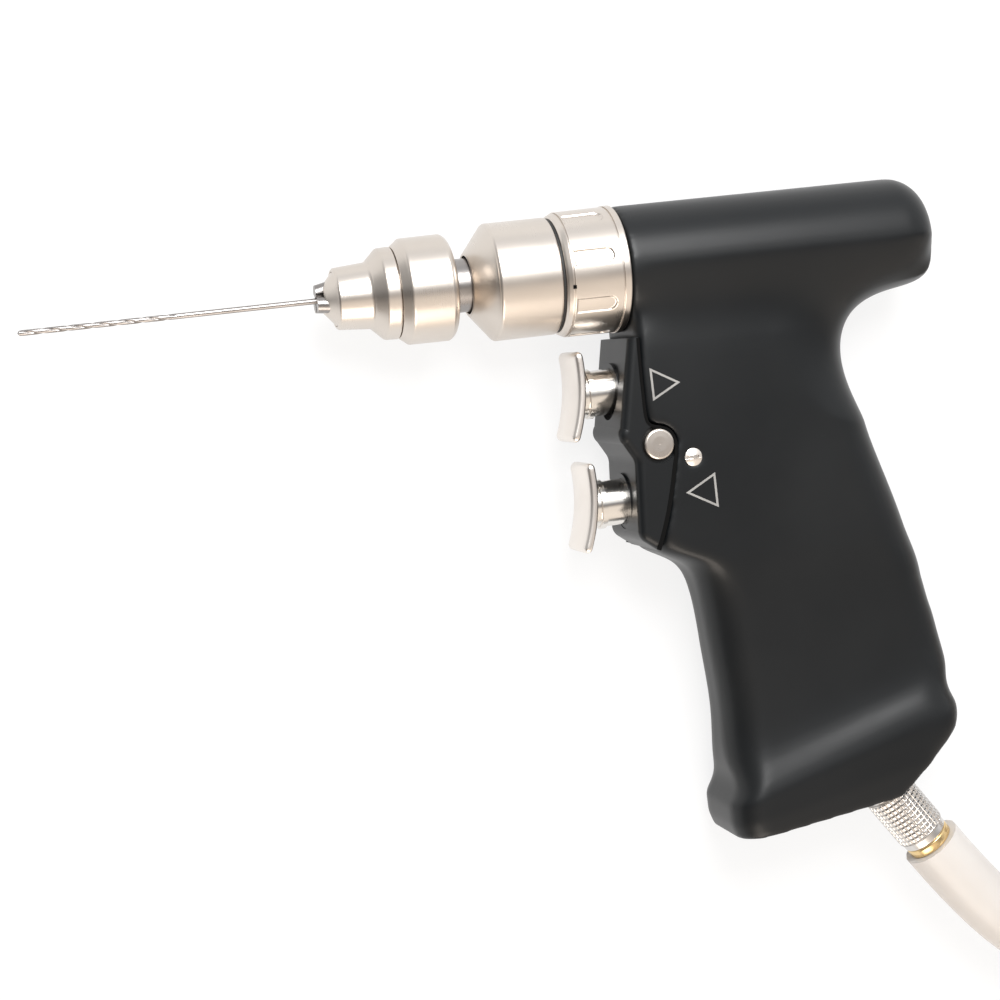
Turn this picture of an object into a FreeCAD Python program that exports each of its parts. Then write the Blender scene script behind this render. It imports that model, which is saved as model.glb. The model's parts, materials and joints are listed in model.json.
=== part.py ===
import FreeCAD, Part
import math
import os
import Sketcher

# Surgical bone drill: a pistol-grip, air-driven handpiece with two triggers, a locking ring,
# a drill attachment with a keyless three-jaw chuck, a twist drill bit and a double air hose.
#
# The drill lies on its side. X runs along the barrel from the bit to the rear, Y from the grip
# to the barrel, Z up. Stations along the barrel are counted from the housing's front face,
# positive to the rear. The origin is the middle of the drill's footprint, on the surface it lies on.

doc = FreeCAD.newDocument("bone_drill")
sheet = doc.addObject("Spreadsheet::Sheet", "Sizes")

SIZES = {
    # Where the drill lies
    "rest_height": 16.85,  # half width of the foot and radius of the ring's rim: both rest on the surface
    "gap": 0.15,  # visible gap between neighbouring outer pieces
    "cutter_length": 80.0,  # cutters run past the piece
    "slip": 0.05,  # radial clearance of a running fit

    # Barrel of the housing
    "barrel_radius": 16.4,
    "barrel_length": 87.6,  # front face to the domed rear
    "barrel_round": 9.5,  # radius between barrel and rear face
    "back_blend": 6.5,  # hollow round between barrel and back of the grip
    "motor_bore_radius": 13.5,
    "foot_stock": 0.05,  # milled off both sides of the foot, which are flat
    "foot_slope": 40.0,  # slanting underside of the foot, in degrees

    # Locking ring
    "ring_length": 17.2,
    "ring_radius": 16.6,
    "ring_rim_width": 2.2,
    "ring_lip_radius": 15.7,  # front lip
    "ring_lip_width": 1.6,
    "ring_bore_radius": 14.7,
    "flute_count": 8,  # finger flutes round the ring
    "flute_depth": 0.55,
    "flute_radius": 6.0,  # radius of the cutter that sinks a flute
    "flute_length": 11.0,
    "flute_angle": -12.5,  # first flute, from the upper side

    # Seal and coupling collar
    "seal_width": 0.8,
    "seal_radius": 15.0,
    "collar_length": 22.3,
    "collar_radius": 15.4,
    "collar_cone_length": 6.0,
    "mouth_radius": 8.2,  # rim of the collar's mouth
    "tail_radius": 11.95,  # tail of the collar, held in the front socket
    "tail_bore_radius": 10.5,  # bearing seat in the collar
    "tail_length": 11.5,  # reach of the tail behind the collar

    # Chuck
    "chuck_gap": 4.0,  # bare shaft between collar and chuck
    "rear_sleeve_length": 15.3,
    "rear_sleeve_radius": 13.9,
    "front_sleeve_length": 15.7,
    "front_sleeve_radius": 12.0,  # middle step
    "nose_radius": 8.6,  # rear of the nose
    "nose_front_radius": 8.0,
    "nose_length": 8.5,
    "nose_cone_length": 2.8,  # cone of the chuck body before the sleeve
    "nose_cone_radius": 3.9,
    "body_front_radius": 7.03,
    "body_rear_radius": 10.8,
    "jaw_radius": 2.1,
    "jaw_angle": 12.0,  # jaw to chuck axis, in degrees
    "jaw_length": 24.0,
    "jaw_reach": 1.9,  # jaw tips before the nose cone
    "jaw_travel": 6.0,  # way of each jaw along its bore
    "jaw_tip_offset": 1.9,  # jaw centre line to the chuck axis at the tips
    "nut_width": 3.0,

    # Drill bit
    "bit_radius": 0.75,  # 1.5 mm drill
    "bit_end_gap": 0.35,  # bit before the end of the drive shaft
    "bit_reach": 75.4,  # length before the jaws
    "bit_point_angle": 118.0,

    # Drive
    "shaft_radius": 7.0,  # bare shaft between chuck and collar
    "bearing_seat_radius": 6.0,
    "bearing_width": 5.0,
    "stub_radius": 4.8,  # threaded stub that holds the chuck body
    "stub_length": 7.5,
    "hex_width": 7.0,  # across the flats of the drive hexagon
    "hex_slip": 0.1,
    "hex_length": 12.0,
    "socket_radius": 14.6,  # front socket under the locking ring
    "socket_bore_radius": 12.0,
    "socket_reach": 17.0,  # front socket before the housing
    "gear_module": 0.6,
    "sun_teeth": 12,
    "planet_teeth": 12,
    "gear_width": 7.0,
    "pressure_angle": 20.0,
    "backlash": 0.16,  # play between two teeth at the pitch circle
    "carrier_radius": 10.6,
    "carrier_width": 3.0,
    "pin_radius": 1.5,
    "gear_start": 12.0,  # front of the planet gears

    # Vane motor
    "motor_start": 22.0,  # front of the motor
    "plate_width": 5.0,
    "cylinder_length": 32.0,
    "cylinder_bore_radius": 10.4,
    "cylinder_offset": 1.4,  # bore centre off the rotor axis
    "rotor_radius": 8.85,
    "rotor_shaft_radius": 2.5,
    "vane_count": 5,
    "vane_width": 1.0,
    "slot_depth": 5.0,
    "rotor_bearing_radius": 6.5,
    "rotor_bearing_width": 4.0,

    # Trigger block
    "block_half": 13.9,  # half width of the block
    "block_edge": 2.2,  # rounding of its front edges
    "block_gap": 0.2,  # seam between block and housing
    "block_top": -18.4,
    "block_nose_x": -7.1,  # nose between the two triggers
    "seam_top": 0.4,  # rear face of the block at its top
    "seam_neck": 0.2,  # rear face of the block's thin upper part
    "lug_x": 7.9,  # rear of the lug that carries the button
    "block_end_x": 0.3,  # lower end of the block
    "block_end_y": -74.6,
    "upper_trigger_y": -32.1,
    "lower_trigger_y": -61.5,
    "valve_radius": 8.0,
    "valve_bore_radius": 6.6,
    "valve_end": 34.0,  # rear end of the valve sleeves
    "valve_start": 9.0,  # front end of the valve sleeves
    "bush_front": -4.4,  # front end of the trigger bushes

    # Triggers
    "stem_radius": 6.1,
    "stem_collar_radius": 6.6,
    "stem_front": -12.0,  # front of the stem's collar
    "stem_collar_width": 1.6,
    "stem_end": 19.0,  # rear end of the stem
    "bush_wall": 1.4,
    "pad_width": 16.0,
    "pad_height": 22.5,
    "pad_thickness": 3.1,
    "pad_front": -17.2,  # bottom of the finger hollow
    "pad_hollow": 42.0,  # radius of the finger hollow
    "pad_crown": 22.0,  # radius across the pad
    "pad_tilt": 8.0,  # lower end leans forward, in degrees
    "trigger_travel": 4.5,
    "spring_radius": 4.6,
    "spring_wire": 0.45,  # radius of the wire
    "spring_turns": 5.0,

    # Button and screw
    "button_x": 3.1,
    "button_y": -46.7,
    "button_radius": 4.15,
    "button_proud": 0.5,  # button over the side of the block
    "button_length": 7.0,
    "button_travel": 2.0,
    "button_ring": 0.9,  # width of the recess round the button
    "screw_x": 12.0,
    "screw_y": -51.2,
    "screw_seat": 13.85,  # underside of the head over the drill's middle
    "screw_head_radius": 2.35,
    "screw_head_height": 0.8,
    "screw_shank_radius": 1.5,
    "screw_length": 9.0,
    "screw_slot": 0.6,  # width of the driver slot

    # Hose port
    "port_angle": 55.0,  # hose below the barrel's line, in degrees
    "port_x": 61.1,  # where the port's axis meets the foot
    "port_y": -149.0,
    "sleeve_radius": 7.1,  # knurled coupling
    "sleeve_length": 20.0,
    "sleeve_seat": 3.0,  # coupling let into the foot
    "ferrule_radius": 6.6,  # brass ring
    "ferrule_length": 2.6,
    "nipple_radius": 4.6,
    "nipple_bore_radius": 3.0,
    "nipple_length": 30.0,  # nipple inside the foot

    # Air hose
    "hose_radius": 8.5,
    "hose_lift": 0.1,  # hose clear of the surface
    "coil_entry_radius": 122.5,  # the hose enters the coil in its outer turn
    "coil_exit_radius": 97.0,  # the hose ends on top of the coil
    "coil_inner_radius": 59.4,
    "coil_outer_radius": 131.0,
    "coil_upper_radius": 105.6,
    "coil_opening": 50.0,  # part of the upper ring left free for the connector, in degrees
    "plug_radius": 8.5,  # body of the machine-side connector
    "plug_length": 30.0,
    "plug_tip_radius": 6.0,
    "plug_tip_length": 18.0,
    "plug_bore_radius": 3.0,
}

# Sections of the grip: front point along the barrel, way down from the section before (the first one
# from the axis), depth to the back, lean in degrees, half width, front and rear edge radii
SECTIONS = [
    ("inside", 3.0, 4.0, 51.0, 0.0, 12.6, 3.0, 12.0),
    ("root", 0.5, 8.0, 60.0, 0.0, 13.6, 3.0, 12.5),
    ("throat", 0.0, 6.0, 60.5, 0.0, 14.0, 3.0, 12.0),
    ("neck", -0.9, 12.0, 63.8, -1.8, 14.1, 3.0, 12.0),
    ("thumb", 0.0, 15.0, 64.4, -0.9, 14.0, 4.0, 12.0),
    ("palm", -0.8, 17.0, 68.9, 1.7, 13.9, 5.0, 12.0),
    ("chin", 1.2, 13.2, 71.0, 1.6, 13.7, 7.0, 12.0),
    ("hook", 9.6, 5.3, 64.3, 0.9, 13.6, 9.0, 12.0),
    ("waist", 12.7, 7.5, 63.2, 1.8, 13.3, 10.5, 11.5),
    ("hand", 14.3, 17.0, 63.4, 7.2, 13.0, 10.5, 11.0),
    ("heel", 15.3, 17.0, 65.3, 12.2, 13.1, 10.5, 10.5),
    ("flare", 15.3, 13.5, 67.2, 14.6, 14.3, 9.5, 10.0),
    ("crease", 13.4, 10.0, 69.8, 14.5, None, 8.5, 9.0),
    ("foot", 13.5, 5.5, 69.8, 11.2, None, 8.5, 9.0),
    ("sole", 14.9, 4.2, 68.0, 6.9, 16.3, 8.0, 8.5),
]
KEYS = ("x", "step", "depth", "lean", "half", "front", "rear")
GRIP_SIZES = {f"{section}_{key}": number for section, *numbers in SECTIONS
              for key, number in zip(KEYS, numbers) if number is not None}

for row, (alias, number) in enumerate({**SIZES, **GRIP_SIZES}.items(), 1):
    sheet.set(f"A{row}", alias.replace("_", " "))
    sheet.set(f"B{row}", str(number))
    sheet.setAlias(f"B{row}", alias)
doc.recompute()


class Size:
    """A length that knows its number now and the formula that binds it to the sheet."""

    def __init__(self, number, formula):
        self.number = float(number)
        self.formula = formula

    def __add__(self, other):
        other = size(other)
        return Size(self.number + other.number, f"({self.formula} + {other.formula})")

    def __sub__(self, other):
        other = size(other)
        return Size(self.number - other.number, f"({self.formula} - {other.formula})")

    def __mul__(self, other):
        other = size(other)
        return Size(self.number * other.number, f"({self.formula} * {other.formula})")

    def __truediv__(self, other):
        other = size(other)
        return Size(self.number / other.number, f"({self.formula} / {other.formula})")

    def __radd__(self, other):
        return size(other) + self

    def __rsub__(self, other):
        return size(other) - self

    def __rmul__(self, other):
        return size(other) * self

    def __neg__(self):
        return Size(-self.number, f"(0 - {self.formula})")


def size(value):
    """A Size from a Size, an alias of the sheet or a plain number."""
    if isinstance(value, Size):
        return value
    if isinstance(value, str):
        return Size(sheet.get(value), f"Sizes.{value}")
    return Size(value, f"({value})" if value < 0 else f"{value}")


def sine(angle):
    angle = size(angle)
    return Size(math.sin(math.radians(angle.number)), f"sin({angle.formula} * 1 deg)")


def cosine(angle):
    angle = size(angle)
    return Size(math.cos(math.radians(angle.number)), f"cos({angle.formula} * 1 deg)")


def tangent(angle):
    return sine(angle) / cosine(angle)


# Stations along the barrel, from the housing's front face
ring_rear = -size("gap")
ring_front = ring_rear - "ring_length"
seal_front = ring_front - "seal_width"
collar_front = seal_front - "collar_length"
chuck_rear = collar_front - "chuck_gap"
sleeve_split = chuck_rear - "rear_sleeve_length"
front_sleeve_rear = sleeve_split - "gap"
front_sleeve_front = front_sleeve_rear - "front_sleeve_length"
chuck_front = front_sleeve_front - "nose_cone_length"
jaw_front = chuck_front - "jaw_reach"
bit_tip = jaw_front - "bit_reach"

# Pitch radii and tooth counts of the planetary gear
ring_teeth = size("sun_teeth") + size("planet_teeth") * 2
sun_pitch = size("gear_module") * "sun_teeth" / 2
planet_pitch = size("gear_module") * "planet_teeth" / 2
ring_pitch = size("gear_module") * ring_teeth / 2
planet_orbit = sun_pitch + planet_pitch

# The hose's exit: end of the brass ring, on the port's axis
port_reach = size("sleeve_length") + "ferrule_length"
hose_start_x = size("port_x") + port_reach * cosine("port_angle")
hose_start_y = size("port_y") - port_reach * sine("port_angle")

# The drill's footprint, without its hose, is centred on the origin
lowest_y = hose_start_y - size("ferrule_radius") * cosine("port_angle")
shift_x = -(bit_tip + "barrel_length") / 2
shift_y = -(lowest_y + "rest_height") / 2
shift_z = size("rest_height")

parts = {}


def vector(x, y, z):
    return FreeCAD.Vector(size(x).number, size(y).number, size(z).number)


def bind(item, path, value):
    """Tie one property of an object to its formula."""
    item.setExpression(path, size(value).formula)


def place(item, x, y, z, rotation=None):
    """Put an object at a station of the drill, counted in the barrel's own frame."""
    spot = [size(x) + shift_x, size(y) + shift_y, size(z) + shift_z]
    turn = rotation or FreeCAD.Rotation()
    item.Placement = FreeCAD.Placement(vector(*spot), turn)
    for axis, value in zip("xyz", spot):
        bind(item, f"Placement.Base.{axis}", value)


ALONG = FreeCAD.Rotation(FreeCAD.Vector(0, 1, 0), 90)


def keep(name, item):
    """Mark an object as a finished piece of the drill."""
    item.Label = name
    parts[name] = item
    return item


def origin_plane(body, role):
    return next(f for f in body.Origin.OriginFeatures if f.Role == role)


def outline(body, name, points, role="XY_Plane"):
    """A closed sketch through points. A point may carry a third value, the radius of the arc
    that leads to the next point, positive when the arc turns to the left."""
    sketch = body.newObject("Sketcher::SketchObject", name)
    sketch.AttachmentSupport = (origin_plane(body, role), [""])
    sketch.MapMode = "FlatFace"
    spots = [(size(p[0]), size(p[1])) for p in points]
    count = len(spots)
    for i, point in enumerate(points):
        a = vector(*spots[i], 0)
        b = vector(*spots[(i + 1) % count], 0)
        if len(point) == 2:
            sketch.addGeometry(Part.LineSegment(a, b), False)
            continue
        radius = size(point[2]).number
        chord = b - a
        side = FreeCAD.Vector(-chord.y, chord.x, 0).normalize()
        half = chord.Length / 2
        rise = math.sqrt(max(radius * radius - half * half, 0.0))
        sign = 1 if radius > 0 else -1
        centre = (a + b) / 2 + side * rise * sign
        middle = centre - side * abs(radius) * sign
        sketch.addGeometry(Part.Arc(a, middle, b), False)
    for i, point in enumerate(points):
        following = (i + 1) % count
        arc, next_arc = len(point) == 3, len(points[following]) == 3
        # an arc that turns to the right is stored the other way round
        end = 1 if arc and size(point[2]).number < 0 else 2
        start = 2 if next_arc and size(points[following][2]).number < 0 else 1
        sketch.addConstraint(Sketcher.Constraint("Coincident", i, end, following, start))
    for i, (x, y) in enumerate(spots):
        start = 2 if len(points[i]) == 3 and size(points[i][2]).number < 0 else 1
        for kind, value, axis in (("DistanceX", x, -2), ("DistanceY", y, -1)):
            if value.formula in ("0", "0.0"):
                sketch.addConstraint(Sketcher.Constraint("PointOnObject", i, start, axis))
                continue
            index = sketch.addConstraint(Sketcher.Constraint(kind, -1, 1, i, start, value.number))
            bind(sketch, f"Constraints[{index}]", value)
    for i, point in enumerate(points):
        if len(point) == 3:
            radius = size(point[2])
            radius = radius if radius.number > 0 else -radius
            index = sketch.addConstraint(Sketcher.Constraint("Radius", i, radius.number))
            bind(sketch, f"Constraints[{index}]", radius)
    return sketch


def new_body(name):
    return doc.addObject("PartDesign::Body", name)


def turned(name, front, profile, final=True):
    """A body turned about the barrel's axis. The profile is a closed outline of
    (distance behind front, radius) points."""
    body = new_body(name)
    sketch = outline(body, f"{name}_profile", profile)
    turn = body.newObject("PartDesign::Revolution", f"{name}_turn")
    turn.Profile = sketch
    turn.ReferenceAxis = (sketch, ["H_Axis"])
    turn.Angle = 360
    sketch.Visibility = False
    place(body, front, 0, 0)
    return keep(name, body) if final else body


def tube(front, length, outer, inner):
    """The profile of a plain ring or tube."""
    return [(0, inner), (length, inner), (length, outer), (0, outer)]


def rod(name, radius, length, at, rotation=ALONG):
    """A cylinder from a point of the barrel's frame."""
    item = doc.addObject("Part::Cylinder", name)
    bind(item, "Radius", radius)
    bind(item, "Height", length)
    item.Radius = size(radius).number
    item.Height = size(length).number
    place(item, *at, rotation)
    return item


def block(name, sides, at):
    """A box from its lowest corner."""
    item = doc.addObject("Part::Box", name)
    for key, value in zip(("Length", "Width", "Height"), sides):
        bind(item, key, value)
    place(item, *at)
    return item


def cut(name, base, tools):
    """Take tools away from a base."""
    tool = tools[0]
    if len(tools) > 1:
        tool = doc.addObject("Part::MultiFuse", f"{name}_tools")
        tool.Shapes = tools
    result = doc.addObject("Part::Cut", name)
    result.Base = base
    result.Tool = tool
    return result


def carve(name, base, tools):
    """Take tools away one after the other, where their own faces would run into each other."""
    for i, tool in enumerate(tools):
        result = doc.addObject("Part::Cut", name if i + 1 == len(tools) else f"{name}_step_{i + 1}")
        result.Base = base
        result.Tool = tool
        base = result
    return base


def join(name, items):
    result = doc.addObject("Part::MultiFuse", name)
    result.Shapes = items
    return result


def group(name, items):
    """Several equal solids that share one node."""
    result = doc.addObject("Part::Compound", name)
    result.Links = items
    return keep(name, result)


def about_axis(degrees):
    """Rotation about the barrel's axis, after laying a piece along it."""
    return FreeCAD.Rotation(FreeCAD.Vector(1, 0, 0), degrees)


def hexagon_bar(name, width, length, front):
    """A six-sided bar along the barrel's axis."""
    bar = doc.addObject("Part::Prism", name)
    bar.Polygon = 6
    bind(bar, "Circumradius", size(width) / (2 * cosine(30)))
    bind(bar, "Height", length)
    place(bar, front, 0, 0, ALONG)
    return bar


# Drill bit
def drill_bit():
    point = size("bit_radius") / tangent(size("bit_point_angle") / 2)
    length = stub_front - "bit_end_gap" - bit_tip
    turned("drill_bit", bit_tip, [
        (0, 0),
        (point, "bit_radius"),
        (length, "bit_radius"),
        (length, 0),
    ])


# Jaws: round bars that slide in slanting bores. Inside, two flats meet on the grip edge.
def chuck_jaw(number):
    turn = 120.0 * number
    lean = sheet.get("jaw_angle")
    slope = FreeCAD.Rotation(FreeCAD.Vector(0, 0, 1), lean)
    spot = size("jaw_tip_offset")
    bar = rod(f"jaw_bar_{number + 1}", "jaw_radius", size("jaw_length") + "jaw_radius", (0, 0, 0))
    angle = math.radians(turn)
    across = (jaw_front - size("jaw_radius") * cosine("jaw_angle"),
              (spot - size("jaw_radius") * sine("jaw_angle")) * math.cos(angle),
              (spot - size("jaw_radius") * sine("jaw_angle")) * math.sin(angle))
    place(bar, *across, about_axis(turn) * slope * ALONG)
    # between its two neighbours the jaw is a wedge with a narrow grip edge
    wedge = new_body(f"jaw_wedge_{number + 1}")
    grip = size("bit_radius") + 0.02
    reach = 14.0
    spread = size(0.3) + reach * tangent(57)
    sketch = outline(wedge, f"jaw_wedge_{number + 1}_outline", [
        (grip, -0.3),
        (grip + reach, -spread),
        (grip + reach, spread),
        (grip, 0.3),
    ], role="YZ_Plane")
    pad = wedge.newObject("PartDesign::Pad", f"jaw_wedge_{number + 1}_pad")
    pad.Profile = sketch
    bind(pad, "Length", size("jaw_length") + "jaw_radius")
    sketch.Visibility = False
    place(wedge, jaw_front, 0, 0, about_axis(turn))
    jaw = doc.addObject("Part::Common", f"chuck_jaw_{number + 1}")
    jaw.Base = bar
    jaw.Tool = wedge
    keep(f"chuck_jaw_{number + 1}", jaw)


def jaw_bore(name, number):
    """The slanting bore that a jaw slides in."""
    turn = 120.0 * number
    slope = FreeCAD.Rotation(FreeCAD.Vector(0, 0, 1), sheet.get("jaw_angle"))
    bore = rod(name, size("jaw_radius") + "slip", size("jaw_length") + "jaw_travel" + 5.8, (0, 0, 0))
    angle = math.radians(turn)
    back = 5.0
    spot = size("jaw_tip_offset") - back * sine("jaw_angle")
    place(bore, jaw_front - back * cosine("jaw_angle"), spot * math.cos(angle), spot * math.sin(angle),
          about_axis(turn) * slope * ALONG)
    return bore


# Chuck body: nose cone, guide for the tightening sleeve, groove for the nut, rear flange
groove_front = front_sleeve_rear - chuck_front - "nut_width" - 0.6
groove_rear = front_sleeve_rear - chuck_front + 0.05


def chuck_body():
    length = chuck_rear - chuck_front - 1.4
    blank = turned("chuck_blank", chuck_front, [
        (0, 2.3),
        (0, size("nose_cone_radius") - 0.3),
        (0.3, "nose_cone_radius"),
        (size("nose_cone_length") + 0.1, size("body_front_radius") - 0.1),
        (size("nose_cone_length") + 0.4, "body_front_radius"),
        (groove_front - 1.2, "body_front_radius"),
        (groove_front - 1.2, size("body_front_radius") + 0.6),
        (groove_front, size("body_front_radius") + 0.6),
        (groove_front, size("body_front_radius") - 0.15),
        (groove_rear, size("body_front_radius") - 0.15),
        (groove_rear, "body_rear_radius"),
        (length, "body_rear_radius"),
        (length, "stub_radius"),
        (length - "stub_length" - 0.5, "stub_radius"),
        (length - "stub_length" - 0.5, 2.3),
    ], final=False)
    keep("chuck_body", cut("chuck_body", blank, [jaw_bore(f"jaw_bore_{i + 1}", i) for i in range(3)]))


def tightening_sleeve():
    front = size("nose_length")
    length = size("front_sleeve_length")
    nut_seat = length - "nut_width" - 0.75
    turned("tightening_sleeve", front_sleeve_front, [
        (0, size("body_front_radius") + "slip"),
        (0, size("nose_front_radius") - 0.5),
        (0.5, "nose_front_radius"),
        (front, "nose_radius", 1.6),
        (front + 0.9, size("nose_radius") + 0.6),
        (front + 3.2, size("front_sleeve_radius") - 0.6, -1.1),
        (front + 4.1, size("front_sleeve_radius") - 0.12),
        (length - 0.3, "front_sleeve_radius"),
        (length, size("front_sleeve_radius") - 0.3),
        (length, size("body_rear_radius") - 0.7),
        (nut_seat, size("body_rear_radius") - 0.7),
        (nut_seat, size("body_front_radius") + 0.7),
        (nut_seat - 2.5, size("body_front_radius") + 0.7),
        (nut_seat - 2.5, size("body_front_radius") + "slip"),
    ])


def jaw_nut():
    """The split ring whose thread drives the jaws: its cone lies along their outer sides."""
    front = chuck_front + groove_front + 0.1
    start = front - jaw_front
    outer = size("jaw_radius") + 0.12
    inner = size("jaw_tip_offset") + start * tangent("jaw_angle") + outer / cosine("jaw_angle")
    blank = turned("nut_blank", front, [
        (0, inner),
        (0, size("body_rear_radius") - 0.7),
        ("nut_width", size("body_rear_radius") - 0.7),
        ("nut_width", inner + size("nut_width") * tangent("jaw_angle")),
    ], final=False)
    split = block("nut_split", (size("nut_width") + 2, 0.3, 30), (front - 1, -0.15, -15))
    keep("jaw_nut", cut("jaw_nut", blank, [split]))


def rear_sleeve():
    length = size("rear_sleeve_length")
    turned("rear_sleeve", sleeve_split, [
        (0, "body_rear_radius"),
        (0, size("front_sleeve_radius") - 0.1),
        (0.3, size("front_sleeve_radius") + 0.1),
        (1.9, size("rear_sleeve_radius") - 0.6, -1.0),
        (2.8, size("rear_sleeve_radius") - 0.1),
        (length - 2.3, "rear_sleeve_radius", -2.6),
        (length - 0.4, size("rear_sleeve_radius") - 2.6),
        (length, size("rear_sleeve_radius") - 3.8),
        (length, size("shaft_radius") + 0.6),
        (length - 1.4, size("shaft_radius") + 0.6),
        (length - 1.4, "body_rear_radius"),
    ])


# Drive shaft of the attachment: threaded stub, bare shaft, bearing seats, hexagon
bearing_front = collar_front + 2.4
bearing_rear = seal_front - "bearing_width" - 0.5
shaft_start = chuck_rear - 1.4
stub_front = shaft_start - "stub_length"
hex_front = seal_front + 1.0
spindle_bearing_start = size("gear_start") - 0.4 - "carrier_width" - 0.3 - 6


def drive_shaft():
    seat = bearing_front - stub_front
    blank = turned("shaft_blank", stub_front, [
        (0, 0),
        (0, "stub_radius"),
        ("stub_length", "stub_radius"),
        ("stub_length", "shaft_radius"),
        (seat, "shaft_radius"),
        (seat, "bearing_seat_radius"),
        (hex_front - stub_front, "bearing_seat_radius"),
        (hex_front - stub_front, 0),
    ], final=False)
    bar = hexagon_bar("drive_hexagon", "hex_width", size("hex_length") + 1, hex_front - 1)
    keep("drive_shaft", join("drive_shaft", [blank, bar]))


def race_pair(kind, spots, inner, outer, width, names):
    """Outer and inner races of equal shielded ball bearings, as two nodes."""
    middle = (size(inner) + size(outer)) / 2
    outers, inners = [], []
    for i, spot in enumerate(spots):
        ring = turned(f"{kind}_outer_{i + 1}", spot, [
            (0, outer),
            (0, size(outer) - 1.3),
            (0.5, size(outer) - 1.3),
            (0.5, middle - 0.9),
            (size(width) - 0.5, middle - 0.9),
            (size(width) - 0.5, size(outer) - 1.3),
            (width, size(outer) - 1.3),
            (width, outer),
        ], final=False)
        outers.append(ring)
        inners.append(turned(f"{kind}_inner_{i + 1}", spot,
                             tube(0, width, middle - 1.05, inner), final=False))
    for name, rings in zip(names, (outers, inners)):
        if len(rings) == 1:
            keep(name, rings[0])
        else:
            group(name, rings)


def coupling_collar():
    length = seal_front - collar_front
    cone = size("collar_cone_length")
    seat = bearing_front - collar_front
    turned("coupling_collar", collar_front, [
        (0, size("mouth_radius") - 0.6),
        (0, "mouth_radius"),
        (cone - 0.7, size("collar_radius") - 0.8, -1.0),
        (cone + 0.2, "collar_radius"),
        (length - 0.3, "collar_radius"),
        (length, size("collar_radius") - 0.3),
        (length, size("tail_radius")),
        (length + "tail_length", "tail_radius"),
        (length + "tail_length", size("tail_radius") - 2.2),
        (length + 0.4, size("tail_radius") - 2.2),
        (length + 0.4, "tail_bore_radius"),
        (seat, "tail_bore_radius"),
        (seat, size("mouth_radius") - 0.6),
    ])


def seal_ring():
    turned("seal_ring", seal_front, tube(0, "seal_width", "seal_radius", size("tail_radius") + "slip"))


def locking_ring():
    length = size("ring_length")
    lip = size("ring_lip_width")
    blank = turned("ring_blank", ring_front, [
        (0, "ring_bore_radius"),
        (0, size("ring_lip_radius") - 0.5),
        (0.5, "ring_lip_radius"),
        (lip, size("ring_radius") - 0.35),
        (lip, size("ring_radius") - 0.6),
        (lip + 0.35, size("ring_radius") - 0.6),
        (lip + 0.35, size("ring_radius") - 0.15),
        (length - "ring_rim_width", "ring_radius"),
        (length - "ring_rim_width", size("ring_radius") - 0.15),
        (length - "ring_rim_width" + 0.3, size("ring_radius") - 0.15),
        (length - "ring_rim_width" + 0.3, "rest_height"),
        (length - 0.3, "rest_height"),
        (length, size("rest_height") - 0.3),
        (length, "ring_bore_radius"),
    ], final=False)
    out = size("ring_radius") + "flute_radius" - "flute_depth"
    cutters = []
    start = ring_front + lip + 0.35
    for i in range(int(sheet.get("flute_count"))):
        angle = math.radians(sheet.get("flute_angle") + i * 360 / sheet.get("flute_count"))
        spot = (out * math.sin(angle), out * math.cos(angle))
        cutters.append(rod(f"flute_{i + 1}", "flute_radius", size("flute_length") - 2.4, (start, *spot)))
        end = doc.addObject("Part::Sphere", f"flute_end_{i + 1}")
        bind(end, "Radius", "flute_radius")
        place(end, start + "flute_length" - 2.4, *spot)
        cutters.append(end)
    keep("locking_ring", cut("locking_ring", blank, cutters))


# Front socket: screwed into the housing, it holds the collar's tail and the spindle bearing
socket_front = -size("socket_reach")
ball_station = seal_front + "seal_width" + 4.0


def front_socket():
    length = size("socket_reach") + "gear_start" - 0.2
    thread = size("socket_reach")
    blank = turned("socket_blank", socket_front, [
        (0, "socket_bore_radius"),
        (0, size("socket_radius") - 0.3),
        (0.3, "socket_radius"),
        (thread, "socket_radius"),
        (thread, size("motor_bore_radius")),
        (length, "motor_bore_radius"),
        (length, "socket_bore_radius"),
    ], final=False)
    holes = []
    for i in range(3):
        turn = about_axis(120.0 * i)
        hole = doc.addObject("Part::Cylinder", f"ball_hole_{i + 1}")
        bind(hole, "Radius", 1.55)
        bind(hole, "Height", 20)
        place(hole, ball_station, 0, 0, turn)
        holes.append(hole)
    keep("front_socket", cut("front_socket", blank, holes))


def lock_balls():
    balls = []
    for i in range(3):
        angle = math.radians(120.0 * i)
        ball = doc.addObject("Part::Sphere", f"lock_ball_{i + 1}")
        bind(ball, "Radius", 1.3)
        reach = size("tail_radius") + 1.35
        place(ball, ball_station, -reach * math.sin(angle), reach * math.cos(angle))
        balls.append(ball)
    group("lock_balls", balls)


# Output shaft and planet carrier
def output_shaft():
    front = hex_front + "hex_length" - 8
    carrier = size("gear_start") - 0.4 - "carrier_width"
    length = size("gear_start") - 0.4 - front
    flange = carrier - front
    blank = turned("output_blank", front, [
        (0, 0),
        (0, size("bearing_seat_radius") - 0.3),
        (0.3, "bearing_seat_radius"),
        (flange, "bearing_seat_radius"),
        (flange, "carrier_radius"),
        (length, "carrier_radius"),
        (length, 0),
    ], final=False)
    bore = hexagon_bar("hexagon_bore", size("hex_width") + "hex_slip", 10, front - 1)
    keep("output_shaft", cut("output_shaft", blank, [bore]))


def planet_pins():
    pins = []
    for i in range(3):
        angle = math.radians(120.0 * i)
        spot = (planet_orbit * math.cos(angle), planet_orbit * math.sin(angle))
        pins.append(rod(f"planet_pin_{i + 1}", "pin_radius", size("gear_width") + 0.9,
                        (size("gear_start") - 0.4, *spot)))
    group("planet_pins", pins)


def involute(base, radius):
    """Polar angle of the involute of a base circle at a radius."""
    if radius <= base:
        return 0.0
    spread = math.acos(base / radius)
    return math.tan(spread) - spread


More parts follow.
